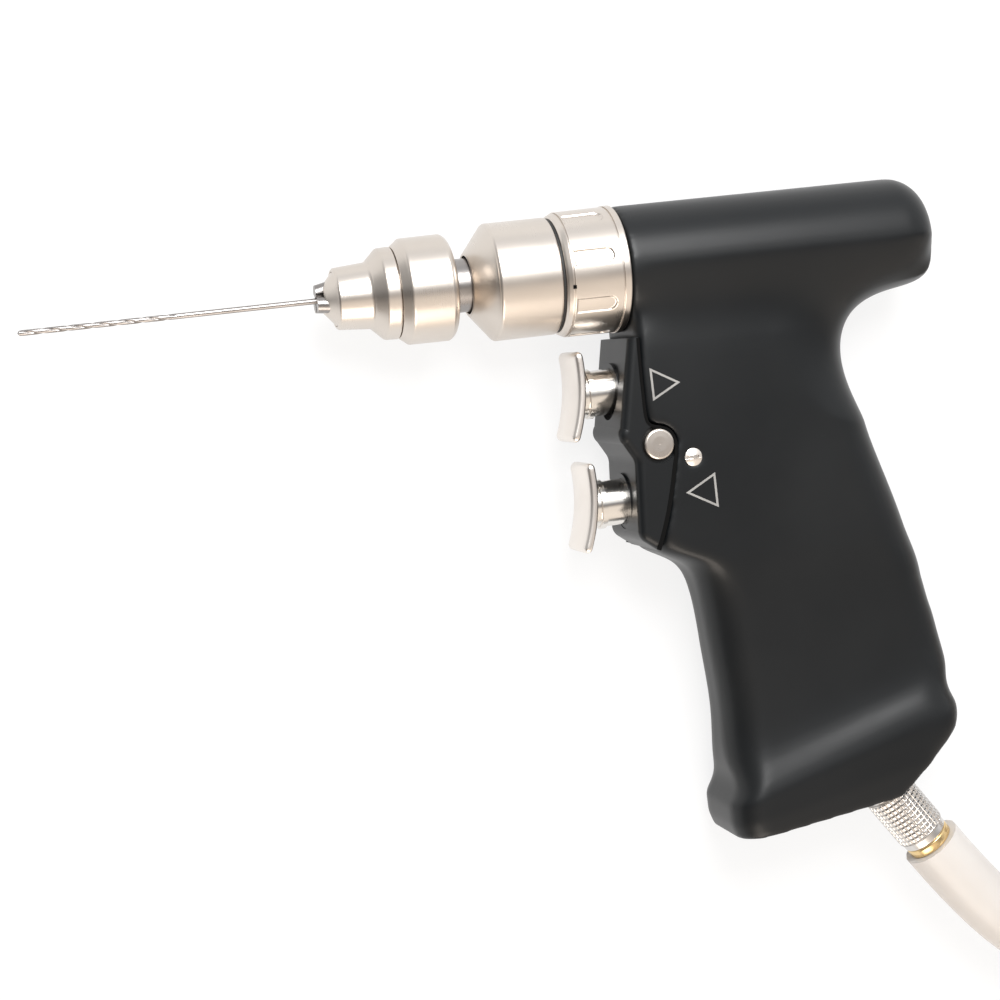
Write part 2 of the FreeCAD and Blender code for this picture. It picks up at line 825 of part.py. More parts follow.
def gear_wire(teeth, pitch, root, tip, thinning, turn):
    """The closed outline of a spur gear in the XY plane. Each flank is an arc through three points of
    the involute, with a straight run below the base circle. A tooth is centred on the angle turn."""
    alpha = math.radians(sheet.get("pressure_angle"))
    base = pitch * math.cos(alpha)
    half = math.pi / (2 * teeth) - thinning / pitch + involute(base, pitch)
    low = max(base, root)

    def at(radius, angle):
        return FreeCAD.Vector(radius * math.cos(angle), radius * math.sin(angle), 0)

    edges = []
    for k in range(teeth):
        middle = turn + 2 * math.pi * k / teeth
        following = middle + 2 * math.pi / teeth
        reach = [low, (low + tip) / 2, tip]
        right = [at(r, middle - half + involute(base, r)) for r in reach]
        left = [at(r, middle + half - involute(base, r)) for r in reversed(reach)]
        foot = half - involute(base, low)
        if root < low - 1e-6:
            edges.append(Part.LineSegment(at(root, middle - foot), right[0]).toShape())
        edges.append(Part.Arc(*right).toShape())
        edges.append(Part.Arc(right[2], at(tip, middle), left[0]).toShape())
        edges.append(Part.Arc(*left).toShape())
        if root < low - 1e-6:
            edges.append(Part.LineSegment(left[2], at(root, middle + foot)).toShape())
        edges.append(Part.Arc(at(root, middle + foot), at(root, (middle + following) / 2),
                              at(root, following - foot)).toShape())
    return Part.Wire(edges)


def along_barrel(shape, front, y, z, length):
    """Extrude a flat outline by length and lay it along the barrel."""
    solid = Part.Face(shape).extrude(FreeCAD.Vector(0, 0, length))
    return solid, FreeCAD.Placement(vector(size(front) + shift_x, size(y) + shift_y, size(z) + shift_z),
                                    FreeCAD.Rotation(FreeCAD.Vector(0, 1, 0), 90))


def feature(name, shape, placement=None):
    item = doc.addObject("Part::Feature", name)
    item.Shape = shape
    if placement:
        item.Placement = placement
    return keep(name, item)


def planetary_gear():
    module = sheet.get("gear_module")
    width = sheet.get("gear_width")
    thin = sheet.get("backlash") / 2
    sun, planet = int(sheet.get("sun_teeth")), int(sheet.get("planet_teeth"))
    ring = int(ring_teeth.number)
    start = sheet.get("gear_start")
    # the sun has a tooth towards the first planet, and each planet a gap there
    wire = gear_wire(sun, sun_pitch.number, sun_pitch.number - 1.25 * module,
                     sun_pitch.number + 0.9 * module, thin, 0.0)
    solid, spot = along_barrel(wire, start, 0, 0, width)
    feature("sun_pinion", solid, spot)
    for i in range(3):
        # laid along the barrel, the outline's X points down and its Y along the row's Y
        angle = math.radians(120.0 * i)
        y, z = planet_orbit.number * math.cos(angle), planet_orbit.number * math.sin(angle)
        seen = math.atan2(y, -z)
        inward = seen + math.pi
        sun_phase = (seen * sun / (2 * math.pi)) % 1.0
        turn = inward + (0.5 + sun_phase) * 2 * math.pi / planet
        wire = gear_wire(planet, planet_pitch.number, planet_pitch.number - 1.25 * module,
                         planet_pitch.number + 0.9 * module, thin, turn)
        bore = Part.Wire(Part.makeCircle(sheet.get("pin_radius") + sheet.get("slip")))
        face = Part.Face(wire).cut(Part.Face(bore))
        solid = face.extrude(FreeCAD.Vector(0, 0, width)).Solids[0]
        feature(f"planet_gear_{i + 1}", solid, FreeCAD.Placement(
            vector(size(start) + shift_x, size(y) + shift_y, size(z) + shift_z), ALONG))
    # the ring's spaces are the teeth of a gear that is thinned the other way
    seen = math.pi / 2
    sun_phase = (seen * sun / (2 * math.pi)) % 1.0
    lead = ((math.pi + (0.5 + sun_phase) * 2 * math.pi / planet) * planet / (2 * math.pi)) % 1.0
    spaces = gear_wire(ring, ring_pitch.number, ring_pitch.number - 0.55 * module,
                       ring_pitch.number + 1.25 * module, -thin, seen + lead * 2 * math.pi / ring)
    rim = Part.Face(Part.Wire(Part.makeCircle(sheet.get("motor_bore_radius"))))
    depth = sheet.get("motor_start") - start + 0.2
    solid = rim.cut(Part.Face(spaces)).extrude(FreeCAD.Vector(0, 0, depth)).Solids[0]
    feature("ring_gear", solid, FreeCAD.Placement(
        vector(size(start) - 0.2 + shift_x, shift_y, shift_z), ALONG))


# Vane motor
motor_bore = size("motor_bore_radius") - "slip"
cylinder_start = size("motor_start") + "plate_width"
motor_end = cylinder_start + "cylinder_length"


def motor_plates():
    for name, start, flip in (("motor_front_plate", size("motor_start"), True),
                              ("motor_rear_plate", motor_end, False)):
        seat = size("rotor_bearing_width") + 0.1
        width = size("plate_width")
        bearing = size("rotor_bearing_radius")
        through = size("rotor_shaft_radius") + 0.6
        if flip:
            profile = [(0, bearing), (0, motor_bore), (width, motor_bore), (width, through),
                       (seat, through), (seat, bearing)]
        else:
            profile = [(0, through), (0, motor_bore), (width, motor_bore), (width, bearing),
                       (width - seat, bearing), (width - seat, through)]
        turned(name, start, profile)


def motor_cylinder():
    blank = turned("cylinder_blank", cylinder_start, [
        (0, 0),
        (0, motor_bore),
        ("cylinder_length", motor_bore),
        ("cylinder_length", 0),
    ], final=False)
    bore = rod("cylinder_bore", "cylinder_bore_radius", size("cylinder_length") + 2,
               (cylinder_start - 1, "cylinder_offset", 0))
    inlets = [rod(f"inlet_port_{i + 1}", 1.5, 20, (cylinder_start + 8 + 8 * i, -6, 0),
                  FreeCAD.Rotation(FreeCAD.Vector(1, 0, 0), 90)) for i in range(3)]
    keep("motor_cylinder", cut("motor_cylinder", blank, [bore, *inlets]))


rotor_front = cylinder_start + 0.15
rotor_length = size("cylinder_length") - 0.3


def rotor():
    nose = rotor_front - "gear_start" - "gear_width"
    tail = size("plate_width") + 0.1
    blank = turned("rotor_blank", rotor_front - nose, [
        (0, 0),
        (0, "rotor_shaft_radius"),
        (nose, "rotor_shaft_radius"),
        (nose, "rotor_radius"),
        (nose + rotor_length, "rotor_radius"),
        (nose + rotor_length, "rotor_shaft_radius"),
        (nose + rotor_length + tail, "rotor_shaft_radius"),
        (nose + rotor_length + tail, 0),
    ], final=False)
    slots, vanes = [], []
    count = int(sheet.get("vane_count"))
    for i in range(count):
        turn = about_axis(360.0 * i / count)
        deep = size("rotor_radius") - "slot_depth"
        slot = block(f"vane_slot_{i + 1}", (rotor_length + 2, size("vane_width") + 0.1, 10),
                     (rotor_front - 1, 0, 0))
        vane = block(f"vane_{i + 1}", (rotor_length, "vane_width", size("slot_depth") - 0.5),
                     (rotor_front, 0, 0))
        for item, half, low in ((slot, size("vane_width") / 2 + 0.05, deep),
                                (vane, size("vane_width") / 2, deep + 0.2)):
            angle = math.radians(360.0 * i / count)
            y = -half * math.cos(angle) - low * math.sin(angle)
            z = -half * math.sin(angle) + low * math.cos(angle)
            place(item, rotor_front - (1 if item is slot else 0), y, z, turn)
        slots.append(slot)
        vanes.append(vane)
    keep("rotor", cut("rotor", blank, slots))
    group("rotor_vanes", vanes)


def wave_spring():
    turned("wave_spring", motor_end + "plate_width" + 0.1, tube(0, 2.0, motor_bore, motor_bore - 3))


# Housing: barrel and grip in one. The grip is lofted through rounded sections between a point of its
# front and one of its back, from the barrel down to the flat sole.
GRIP = [section[0] for section in SECTIONS]


def grip_section(name):
    """One rounded rectangle across the grip. Its local x runs from the front to the back."""
    front_x, depth, lean, front_edge, rear_edge = (
        size(f"{name}_{key}") for key in ("x", "depth", "lean", "front", "rear"))
    half = size("rest_height") + "foot_stock" if name in ("crease", "foot") else size(f"{name}_half")
    front_y = size(0)
    for above in GRIP[:GRIP.index(name) + 1]:
        front_y = front_y - f"{above}_step"
    sketch = doc.addObject("Sketcher::SketchObject", f"grip_{name}")
    d, h, f, r = depth.number, half.number, front_edge.number, rear_edge.number
    lines = [((f, -h), (d - r, -h)), ((d, r - h), (d, h - r)), ((d - r, h), (f, h)), ((0, h - f), (0, f - h))]
    arcs = [((d - r, r - h), r, -90), ((d - r, h - r), r, 0), ((f, h - f), f, 90), ((f, f - h), f, 180)]
    for i in range(4):
        a, b = lines[i]
        sketch.addGeometry(Part.LineSegment(FreeCAD.Vector(*a, 0), FreeCAD.Vector(*b, 0)), False)
        centre, radius, start = arcs[i]
        circle = Part.Circle(FreeCAD.Vector(*centre, 0), FreeCAD.Vector(0, 0, 1), radius)
        sketch.addGeometry(Part.ArcOfCircle(circle, math.radians(start), math.radians(start + 90)), False)
    for i in range(4):
        line, arc, following = 2 * i, 2 * i + 1, (2 * i + 2) % 8
        sketch.addConstraint(Sketcher.Constraint("Tangent", line, 2, arc, 1))
        sketch.addConstraint(Sketcher.Constraint("Tangent", arc, 2, following, 1))
    sketch.addConstraint(Sketcher.Constraint("Horizontal", 0))
    sketch.addConstraint(Sketcher.Constraint("Horizontal", 4))
    sketch.addConstraint(Sketcher.Constraint("Vertical", 2))
    sketch.addConstraint(Sketcher.Constraint("PointOnObject", 6, 1, -2))
    sketch.addConstraint(Sketcher.Constraint("Symmetric", 6, 1, 6, 2, -1))
    sketch.addConstraint(Sketcher.Constraint("Equal", 1, 3))
    sketch.addConstraint(Sketcher.Constraint("Equal", 5, 7))
    for kind, args, value in (("DistanceX", (-1, 1, 2, 1), depth), ("DistanceY", (-1, 1, 4, 1), half),
                              ("Radius", (1,), rear_edge), ("Radius", (5,), front_edge)):
        index = sketch.addConstraint(Sketcher.Constraint(kind, *args, value.number))
        bind(sketch, f"Constraints[{index}]", value)
    across = FreeCAD.Rotation(FreeCAD.Vector(0, 0, 1), lean.number) * UPRIGHT
    place(sketch, front_x, front_y, 0, across)
    return sketch


UPRIGHT = FreeCAD.Rotation(FreeCAD.Vector(1, 0, 0), 90)


def loft(name, sections, ruled):
    item = doc.addObject("Part::Loft", name)
    item.Sections = sections
    item.Solid = True
    item.Ruled = ruled
    return item


def prism(name, points, low, high, final=False):
    """A side outline of the drill, given depth from low to high over the barrel's axis."""
    body = new_body(name)
    sketch = outline(body, f"{name}_outline", points)
    pad = body.newObject("PartDesign::Pad", f"{name}_pad")
    pad.Profile = sketch
    pad.Length = (size(high) - low).number
    bind(pad, "Length", size(high) - low)
    sketch.Visibility = False
    place(body, 0, 0, low)
    return keep(name, body) if final else body


# The seam between trigger block and housing, from the block's top rear corner down to its chin
SEAM = [
    ("seam_top", "block_top"),
    ("seam_neck", -27.0),
    ("seam_neck", -38.6, 3.0),
    (size("seam_neck") + 1.4, -41.3),
    (size("lug_x") - 4.2, -42.0, -4.4),
    ("lug_x", -46.5),
    (size("lug_x") - 0.9, -51.7),
    (size("lug_x") - 2.9, -59.8, -60.0),
    ("block_end_x", "block_end_y"),
]


def trigger_block():
    rear = list(reversed(SEAM))
    # walked upwards, each arc of the seam belongs to its other end and turns the other way
    up = []
    for i, point in enumerate(rear):
        spot = point[:2]
        if i + 1 < len(rear) and len(rear[i + 1]) == 3:
            spot = (*spot, -size(rear[i + 1][2]))
        up.append(spot)
    nose = size("block_nose_x")
    front = [
        (nose + 5.0, "block_top"),
        (nose + 0.6, -41.4, 3.4),
        (nose + 0.9, -45.8),
        (nose + 3.1, -49.6, -4.5),
        (nose + 3.5, -52.2),
        (nose + 2.5, size("block_end_y") + 5.4, 3.6),
        (nose + 3.9, size("block_end_y") + 2.7),
    ]
    blank = prism("block_blank", front + up, -size("block_half"), "block_half")
    doc.recompute()
    pad = blank.Tip
    names = []
    front_end = (nose + 5.3).number
    for i, edge in enumerate(pad.Shape.Edges):
        middle = edge.valueAt((edge.FirstParameter + edge.LastParameter) / 2)
        if edge.BoundBox.ZLength < 0.01 and middle.x < front_end and edge.BoundBox.YLength > 0.5:
            names.append(f"Edge{i + 1}")
    edge_round = blank.newObject("PartDesign::Fillet", "block_rounding")
    edge_round.Base = (pad, names)
    edge_round.Radius = sheet.get("block_edge")
    bind(edge_round, "Radius", "block_edge")
    holes = []
    for key in ("upper", "lower"):
        holes.append(rod(f"{key}_bush_hole", bush_radius, "cutter_length",
                         (-size("cutter_length") / 2, f"{key}_trigger_y", 0)))
    well = size("button_length") + "button_travel" + 4
    top = size("block_half")
    holes.append(rod("button_hole", size("button_radius") + "slip", well + 1,
                     ("button_x", "button_y", top + 1), INWARD))
    holes.append(rod("button_recess", size("button_radius") + "button_ring", 2.2,
                     ("button_x", "button_y", top + 1), INWARD))
    keep("trigger_block", cut("trigger_block", blank, holes))


INWARD = FreeCAD.Rotation(FreeCAD.Vector(1, 0, 0), 180)
SLOPE = FreeCAD.Rotation(FreeCAD.Vector(0, 0, 1), -sheet.get("port_angle"))
bush_radius = size("stem_radius") + "bush_wall"
port_side = sheet.get("foot_slope")


def along_port(reach):
    """A station on the port's axis, counted from the foot's slanted face."""
    return (size("port_x") + size(reach) * cosine("port_angle"),
            size("port_y") - size(reach) * sine("port_angle"), 0)


def housing():
    sections = {name: grip_section(name) for name in GRIP}
    crease = GRIP.index("crease")
    grip = loft("grip_form", [sections[n] for n in GRIP[:crease + 1]], False)
    foot = loft("foot_form", [sections[n] for n in GRIP[crease:]], True)
    radius, length, edge = size("barrel_radius"), size("barrel_length"), size("barrel_round")
    barrel = turned("barrel_form", 0, [
        (0, 0),
        (0, radius),
        (length - edge, radius, -edge),
        (length, radius - edge),
        (length, 0),
    ], final=False)
    form = join("housing_form", [barrel, grip, foot])
    doc.recompute()
    form = blend_back(form)

    tools = [rod("ring_room", size("rest_height") + 0.35, "cutter_length", (-size("cutter_length"), 0, 0))]
    tools.append(rod("motor_bore", "motor_bore_radius",
                     motor_end + "plate_width" + 2.2 + 1, (-1, 0, 0)))
    gap = size("block_gap")
    seam = []
    for point in SEAM:
        moved = (size(point[0]) + gap, size(point[1]) + (gap if size(point[1]).number > -46 else 0))
        seam.append((*moved, point[2]) if len(point) == 3 else moved)
    top, chin = seam[0], seam[-1]
    pocket = [(top[0], top[1]), *seam[1:-1], (chin[0], chin[1]), (-40, chin[1]), (-40, top[1])]
    pocket = list(reversed(pocket))
    fixed = []
    for i, point in enumerate(pocket):
        spot = point[:2]
        if i + 1 < len(pocket) and len(pocket[i + 1]) == 3:
            spot = (*spot, -size(pocket[i + 1][2]))
        fixed.append(spot)
    tools.append(prism("block_room", fixed, -20, 20))
    for key in ("upper", "lower"):
        tools.append(rod(f"{key}_bush_seat", bush_radius, size("valve_start") + 10, (-10, f"{key}_trigger_y", 0)))
        tools.append(rod(f"{key}_valve_seat", "valve_radius", size("valve_end") - "valve_start",
                         ("valve_start", f"{key}_trigger_y", 0)))
    tools.append(rod("screw_hole", "screw_shank_radius", size("screw_length") + 5,
                     ("screw_x", "screw_y", size("screw_seat") + 5), INWARD))
    tools.append(rod("screw_recess", size("screw_head_radius") + 0.1, 5,
                     ("screw_x", "screw_y", size("screw_seat") + 5), INWARD))
    tools.append(rod("coupling_seat", size("sleeve_radius") + "slip", size("sleeve_seat") + 20,
                     along_port(-size("sleeve_seat")), SLOPE * ALONG))
    tools.append(rod("nipple_seat", "nipple_radius", size("nipple_length") + 20,
                     along_port(-size("sleeve_seat") - "nipple_length"), SLOPE * ALONG))
    # the slanting underside of the foot, square to the hose's port
    wedge = block("foot_underside", (80, 60, 60), (0, 0, 0))
    tilt = FreeCAD.Rotation(FreeCAD.Vector(0, 0, 1), port_side)
    place(wedge, size("port_x") - size(5) * cosine("foot_slope") + 60 * sine("foot_slope"),
          size("port_y") - size(5) * sine("foot_slope") - 60 * cosine("foot_slope"), -30, tilt)
    tools.append(wedge)
    for side, low in (("far", -size("rest_height") - 5), ("near", size("rest_height"))):
        tools.append(block(f"foot_{side}_side", (90, 50, 5), ("crease_x", size("port_y") - 20, low)))
    keep("housing", carve("housing", form, tools))


def blend_back(form):
    """Round the corner where the back and the sides of the grip run into the barrel."""
    picked = []
    top, rear = -size("inside_step").number - 3, sheet.get("barrel_length") / 2
    for i, edge in enumerate(form.Shape.Edges):
        box = edge.BoundBox
        low, high = box.YMin - shift_y.number, box.YMax - shift_y.number
        if low > -sheet.get("barrel_radius") - 0.5 and high < top and box.XMax - shift_x.number > rear:
            picked.append((i + 1, sheet.get("back_blend"), sheet.get("back_blend")))
    blend = doc.addObject("Part::Fillet", "housing_blend")
    blend.Base = form
    blend.Edges = picked
    return blend


def trigger(key):
    """A finger pad, bent hollow along its height and crowned across, on its valve stem."""
    y = size(f"{key}_trigger_y")
    hollow, crown = size("pad_hollow"), size("pad_crown")
    half, thick = size("pad_width") / 2, size("pad_thickness")
    drop = sheet.get("pad_crown") - math.sqrt(sheet.get("pad_crown") ** 2 - (sheet.get("pad_width") / 2) ** 2)
    body = new_body(f"{key}_pad_form")
    sketch = outline(body, f"{key}_pad_section", [
        (hollow + thick, -half),
        (hollow + thick, half),
        (hollow + drop, half, crown),
        (hollow + drop, -half),
    ])
    turn = body.newObject("PartDesign::Revolution", f"{key}_pad_bend")
    turn.Profile = sketch
    turn.ReferenceAxis = (sketch, ["V_Axis"])
    turn.Midplane = True
    turn.Angle = math.degrees(sheet.get("pad_height") / sheet.get("pad_hollow"))
    bind(turn, "Angle", size("pad_height") / "pad_hollow" * 180 / math.pi)
    sketch.Visibility = False
    tilt = -size("pad_tilt")
    place(body, size("pad_front") - hollow * cosine(tilt), y - hollow * sine(tilt), 0,
          FreeCAD.Rotation(FreeCAD.Vector(0, 0, 1), tilt.number) * UPRIGHT)
    keep(f"{key}_finger_pad", body)

    stem, collar = size("stem_radius"), size("stem_collar_radius")
    start = size("pad_front") + 1.6
    front = size("stem_front") - start
    back = front + "stem_collar_width"
    length = size("stem_end") - start
    blank = turned(f"{key}_stem_form", start, [
        (0, 0),
        (0, stem),
        (front, stem),
        (front, collar - 0.2),
        (front + 0.2, collar),
        (back, collar),
        (back, stem),
        (length - 12, stem),
        (length - 11, stem - 1.8),
        (length - 6, stem - 1.8),
        (length - 5, stem),
        (length, stem),
        (length, 0),
    ], final=False)
    place(blank, start, y, 0)
    keep(f"{key}_trigger_stem", cut(f"{key}_trigger_stem", blank, [body]))

    bush = turned(f"{key}_bush", size("bush_front"), tube(0, size("valve_start") - "bush_front", bush_radius,
                                                          stem + "slip"))
    place(bush, "bush_front", y, 0)
    length = size("valve_end") - "valve_start"
    sleeve = turned(f"{key}_valve_sleeve", "valve_start", [
        (0, stem + "slip"),
        (0, "valve_radius"),
        (length, "valve_radius"),
        (length, 2.0),
        (length - 2.5, 2.0),
        (length - 2.5, stem + "slip"),
    ])
    place(sleeve, "valve_start", y, 0)
    coil(f"{key}_trigger_spring", "spring_radius", "spring_wire", "spring_turns",
         ("stem_end", y, 0), size("valve_end") - 2.5 - "stem_end", ALONG)


def coil(name, radius, wire, turns, at, length, rotation):
    """A compression spring between two seats, wound round its own axis."""
    helix = doc.addObject("Part::Helix", f"{name}_line")
    free = size(length) - size(wire) * 2 - 0.1
    for key, value in (("Radius", size(radius)), ("Height", free), ("Pitch", free / turns)):
        setattr(helix, key, value.number)
        bind(helix, key, value)
    doc.recompute()
    wire_round = doc.addObject("Part::Circle", f"{name}_wire")
    wire_round.Radius = size(wire).number
    bind(wire_round, "Radius", wire)
    wire_round.Placement = FreeCAD.Placement(FreeCAD.Vector(size(radius).number, 0, 0),
                                             FreeCAD.Rotation(FreeCAD.Vector(1, 0, 0), 90))
    bind(wire_round, "Placement.Base.x", radius)
    sweep = doc.addObject("Part::Sweep", f"{name}_sweep")
    sweep.Sections = [wire_round]
    sweep.Spine = (helix, ["Edge1"])
    sweep.Solid = True
    sweep.Frenet = True
    shift = size(wire) + 0.05
    turn = rotation
    step = turn.multVec(FreeCAD.Vector(0, 0, 1))
    place(sweep, size(at[0]) + shift * round(step.x), size(at[1]) + shift * round(step.y),
          size(at[2]) + shift * round(step.z), turn)
    keep(name, sweep)


def button_and_screw():
    top = size("block_half") + "button_proud"
    button = turned("lock_button", "button_x", [
        (0, 0),
        (0, size("button_radius") - 0.6, 0.9),
        (0.5, "button_radius"),
        ("button_length", "button_radius"),
        ("button_length", 0),
    ])
    place(button, "button_x", "button_y", top, ALONG)
    coil("button_spring", 2.6, 0.35, 4, ("button_x", "button_y", top - "button_length"),
         size("button_travel") + 4 + size("button_proud"), INWARD)

    dome = size("screw_head_height")
    head = size("screw_head_radius")
    blank = turned("screw_form", "screw_x", [
        (0, 0),
        (0, head - 1.2),
        (dome * 0.55, head),
        (dome, head),
        (dome, "screw_shank_radius"),
        (dome + "screw_length", "screw_shank_radius"),
        (dome + "screw_length", 0),
    ], final=False)
    place(blank, "screw_x", "screw_y", size("screw_seat") + dome, ALONG)
    slot = block("screw_slot_cutter", (8, "screw_slot", 2), (size("screw_x") - 4,
                 size("screw_y") - size("screw_slot") / 2, size("screw_seat") + dome - 0.45))
    keep("grip_screw", cut("grip_screw", blank, [slot]))


def hose_port():
    def on_port(item, reach):
        place(item, *along_port(reach), SLOPE)

    seat = size("sleeve_seat")
    length = seat + "sleeve_length"
    sleeve = size("sleeve_radius")
    inner = size("nipple_radius") + "slip"
    item = turned("hose_coupling", 0, [
        (0, inner),
        (0, sleeve),
        (seat + 1.6, sleeve),
        (seat + 1.6, sleeve - 0.5),
        (seat + 2.2, sleeve - 0.5),
        (seat + 2.2, sleeve),
        (length - 2.6, sleeve),
        (length - 2.3, sleeve - 0.45),
        (length - 0.4, sleeve - 0.45),
        (length, sleeve - 0.85),
        (length, inner),
    ])
    on_port(item, -seat)
    ring = size("ferrule_radius")
    item = turned("hose_ferrule", 0, [
        (0, inner),
        (0, ring - 0.3),
        (0.3, ring),
        (size("ferrule_length") - 0.3, ring),
        ("ferrule_length", ring - 0.3),
        ("ferrule_length", inner),
    ])
    on_port(item, "sleeve_length")
    whole = size("nipple_length") + seat + port_reach
    item = turned("inlet_nipple", 0, [
        (0, "nipple_bore_radius"),
        (0, "nipple_radius"),
        (6, "nipple_radius"),
        (6, size("nipple_radius") - 0.8),
        (8.4, size("nipple_radius") - 0.8),
        (8.4, "nipple_radius"),
        (whole, "nipple_radius"),
        (whole, "nipple_bore_radius"),
    ])
    on_port(item, -(seat + "nipple_length"))
    seal = doc.addObject("Part::Torus", "inlet_seal")
    bind(seal, "Radius1", size("nipple_radius") - 0.42)
    bind(seal, "Radius2", 0.38)
    on_port(seal, size(7.2) - seat - "nipple_length")
    place(seal, *along_port(size(7.2) - seat - "nipple_length"), SLOPE * ALONG)
    keep("inlet_seal", seal)
    item = turned("inlet_filter", 0, [
        (0, 0),
        (0, size("nipple_bore_radius") - 0.02),
        (4, size("nipple_bore_radius") - 0.02),
        (4, 0),
    ])
    on_port(item, size(1.0) - seat - "nipple_length")


# Air hose: straight runs joined by tangent arcs, from the ferrule down to the surface and away
def rounded_path(points):
    """Wire through the points, each corner replaced by the largest fitting tangent arc."""
    corners = [FreeCAD.Vector(*p) for p in points]
    edges, radii = [], []
    last = corners[0]
    for before, here, after in zip(corners, corners[1:], corners[2:]):
        come, leave = (here - before), (after - here)
        turn = come.getAngle(leave)
        radius = 0.45 * min(come.Length, leave.Length) / math.tan(turn / 2)
        step = radius * math.tan(turn / 2)
        a = here - come.normalize() * step
        b = here + leave.normalize() * step
        centre = here + (leave - come).normalize() * (radius / math.cos(turn / 2))
        middle = centre + (here - centre).normalize() * radius
        edges.append(Part.LineSegment(last, a).toShape())
        edges.append(Part.Arc(a, middle, b).toShape())
        radii.append(radius)
        last = b
    edges.append(Part.LineSegment(last, corners[-1]).toShape())
    return Part.Wire(edges), radii


def air_hose():
    radius = sheet.get("hose_radius")
    floor = radius + sheet.get("hose_lift")
    start = vector(hose_start_x + shift_x, hose_start_y + shift_y, shift_z)
    headings = [-sheet.get("port_angle"), -42.0, -29.0, -16.0, -5.0, 0.0]
    runs = [23.0, 26.0, 29.0, 33.0, 40.0, 40.0]
    fall = [0.0, 1.7, 2.6, 2.6, 1.3, 0.0]
    points = [start]
    height = start.z
    drop = (start.z - floor) / sum(fall)
    for heading, run, part in zip(headings, runs, fall):
        way = math.radians(heading)
        height -= part * drop
        points.append(points[-1] + FreeCAD.Vector(run * math.cos(way), run * math.sin(way), 0))
        points[-1].z = height
    wire, radii = rounded_path(points)
    print("hose route", [tuple(round(v, 2) for v in p) for p in points])
    print("hose arc radii", [round(r, 1) for r in radii], "length", round(wire.Length, 1))
    profile = Part.Wire(Part.makeCircle(radius, points[0], points[1] - points[0]))
    pipe = wire.makePipeShell([profile], True, False)
    print("hose volume", round(pipe.Volume, 1), "of", round(math.pi * radius ** 2 * wire.Length, 1))
    feature("air_hose", pipe)
    return points[-1]


def hose_coil(entry):
    """The outer form of the coiled hose: a lower ring, and an upper one left open for the connector."""
    centre = (entry.x, entry.y + sheet.get("coil_entry_radius"))
    layer = size("hose_radius") * 2
    wall = {}

    def ring(name, inner, outer, low, height, opening=0.0, turn=0.0):
        rings = []
        for tag, radius, more in (("outer", outer, 0), ("inner", inner, 1)):
            disc = doc.addObject("Part::Cylinder", f"{name}_{tag}")
            bind(disc, "Radius", radius)
            bind(disc, "Height", size(height) + 2 * more)
            if not more:
                disc.Angle = 360 - opening
            disc.Placement = FreeCAD.Placement(
                FreeCAD.Vector(centre[0], centre[1], size(low).number - more),
                FreeCAD.Rotation(FreeCAD.Vector(0, 0, 1), turn))
            rings.append(disc)
        result = doc.addObject("Part::Cut", name)
        result.Base, result.Tool = rings
        return result

    # in the upper layer the last turn ends where the connector starts, and the turns inside it go on
    second = size("hose_lift") + layer
    beside = size("coil_exit_radius") - "plug_radius" - 0.1
    opening = sheet.get("coil_opening")
    lower = ring("coil_lower", "coil_inner_radius", "coil_outer_radius", "hose_lift", layer)
    inner = ring("coil_inside", "coil_inner_radius", beside, second, layer)
    upper = ring("coil_upper", beside - 1, "coil_upper_radius", second, layer, opening, opening - 90)
    keep("air_hose_coil", join("air_hose_coil", [lower, inner, upper]))
    print("coil centre", centre)

    body, tip = size("plug_radius"), size("plug_tip_radius")
    length = size("plug_length")
    whole = length + "plug_tip_length"
    plug = turned("hose_connector", 0, [
        (0, 0),
        (0, body - 0.5),
        (0.5, body),
        (9, body),
        (9.6, body - 1.2),
        (length - 6, body - 1.2),
        (length - 5, body),
        (length - 0.5, body),
        (length, body - 0.5),
        (length, tip),
        (whole - 1, tip),
        (whole, tip - 1),
        (whole, size("plug_bore_radius")),
        (length + 4, size("plug_bore_radius")),
        (length + 4, 0),
    ])
    lift = size("hose_lift") + layer + "plug_radius" + 0.05
    place(plug, size(centre[0]) - shift_x, size(centre[1]) - "coil_exit_radius" - shift_y, lift - shift_z)


drill_bit()
for n in range(3):
    chuck_jaw(n)
chuck_body()
tightening_sleeve()
jaw_nut()
rear_sleeve()
drive_shaft()
race_pair("collar_bearing", [bearing_front, bearing_rear], "bearing_seat_radius", "tail_bore_radius",
          "bearing_width", ("collar_bearing_outer", "collar_bearing_inner"))
coupling_collar()
seal_ring()
locking_ring()
front_socket()
lock_balls()
output_shaft()
race_pair("spindle_bearing", [spindle_bearing_start], "bearing_seat_radius", "socket_bore_radius",
          6, ("spindle_bearing_outer", "spindle_bearing_inner"))
planet_pins()
planetary_gear()
motor_plates()
motor_cylinder()
rotor()
race_pair("rotor_bearing", [size("motor_start") + 0.05, motor_end + "plate_width" - "rotor_bearing_width" - 0.05],
          "rotor_shaft_radius", "rotor_bearing_radius", "rotor_bearing_width",
          ("rotor_bearing_outer", "rotor_bearing_inner"))
wave_spring()
housing()
trigger_block()
trigger("upper")
trigger("lower")
button_and_screw()
hose_port()
entry = air_hose()
hose_coil(entry)

doc.recompute()
bad = [o.Name for o in doc.Objects if "Invalid" in o.State or "Error" in o.State]
for name, item in parts.items():
    shape = item.Shape
    if shape.isNull() or not shape.isValid() or not shape.Solids or shape.Volume <= 0:
        bad.append(name)
if bad:
    raise SystemExit(f"failed objects: {bad}")
os.makedirs("parts", exist_ok=True)
for name, item in parts.items():
    item.Shape.exportStep(f"parts/{name}.step")
print(len(parts), "pieces")
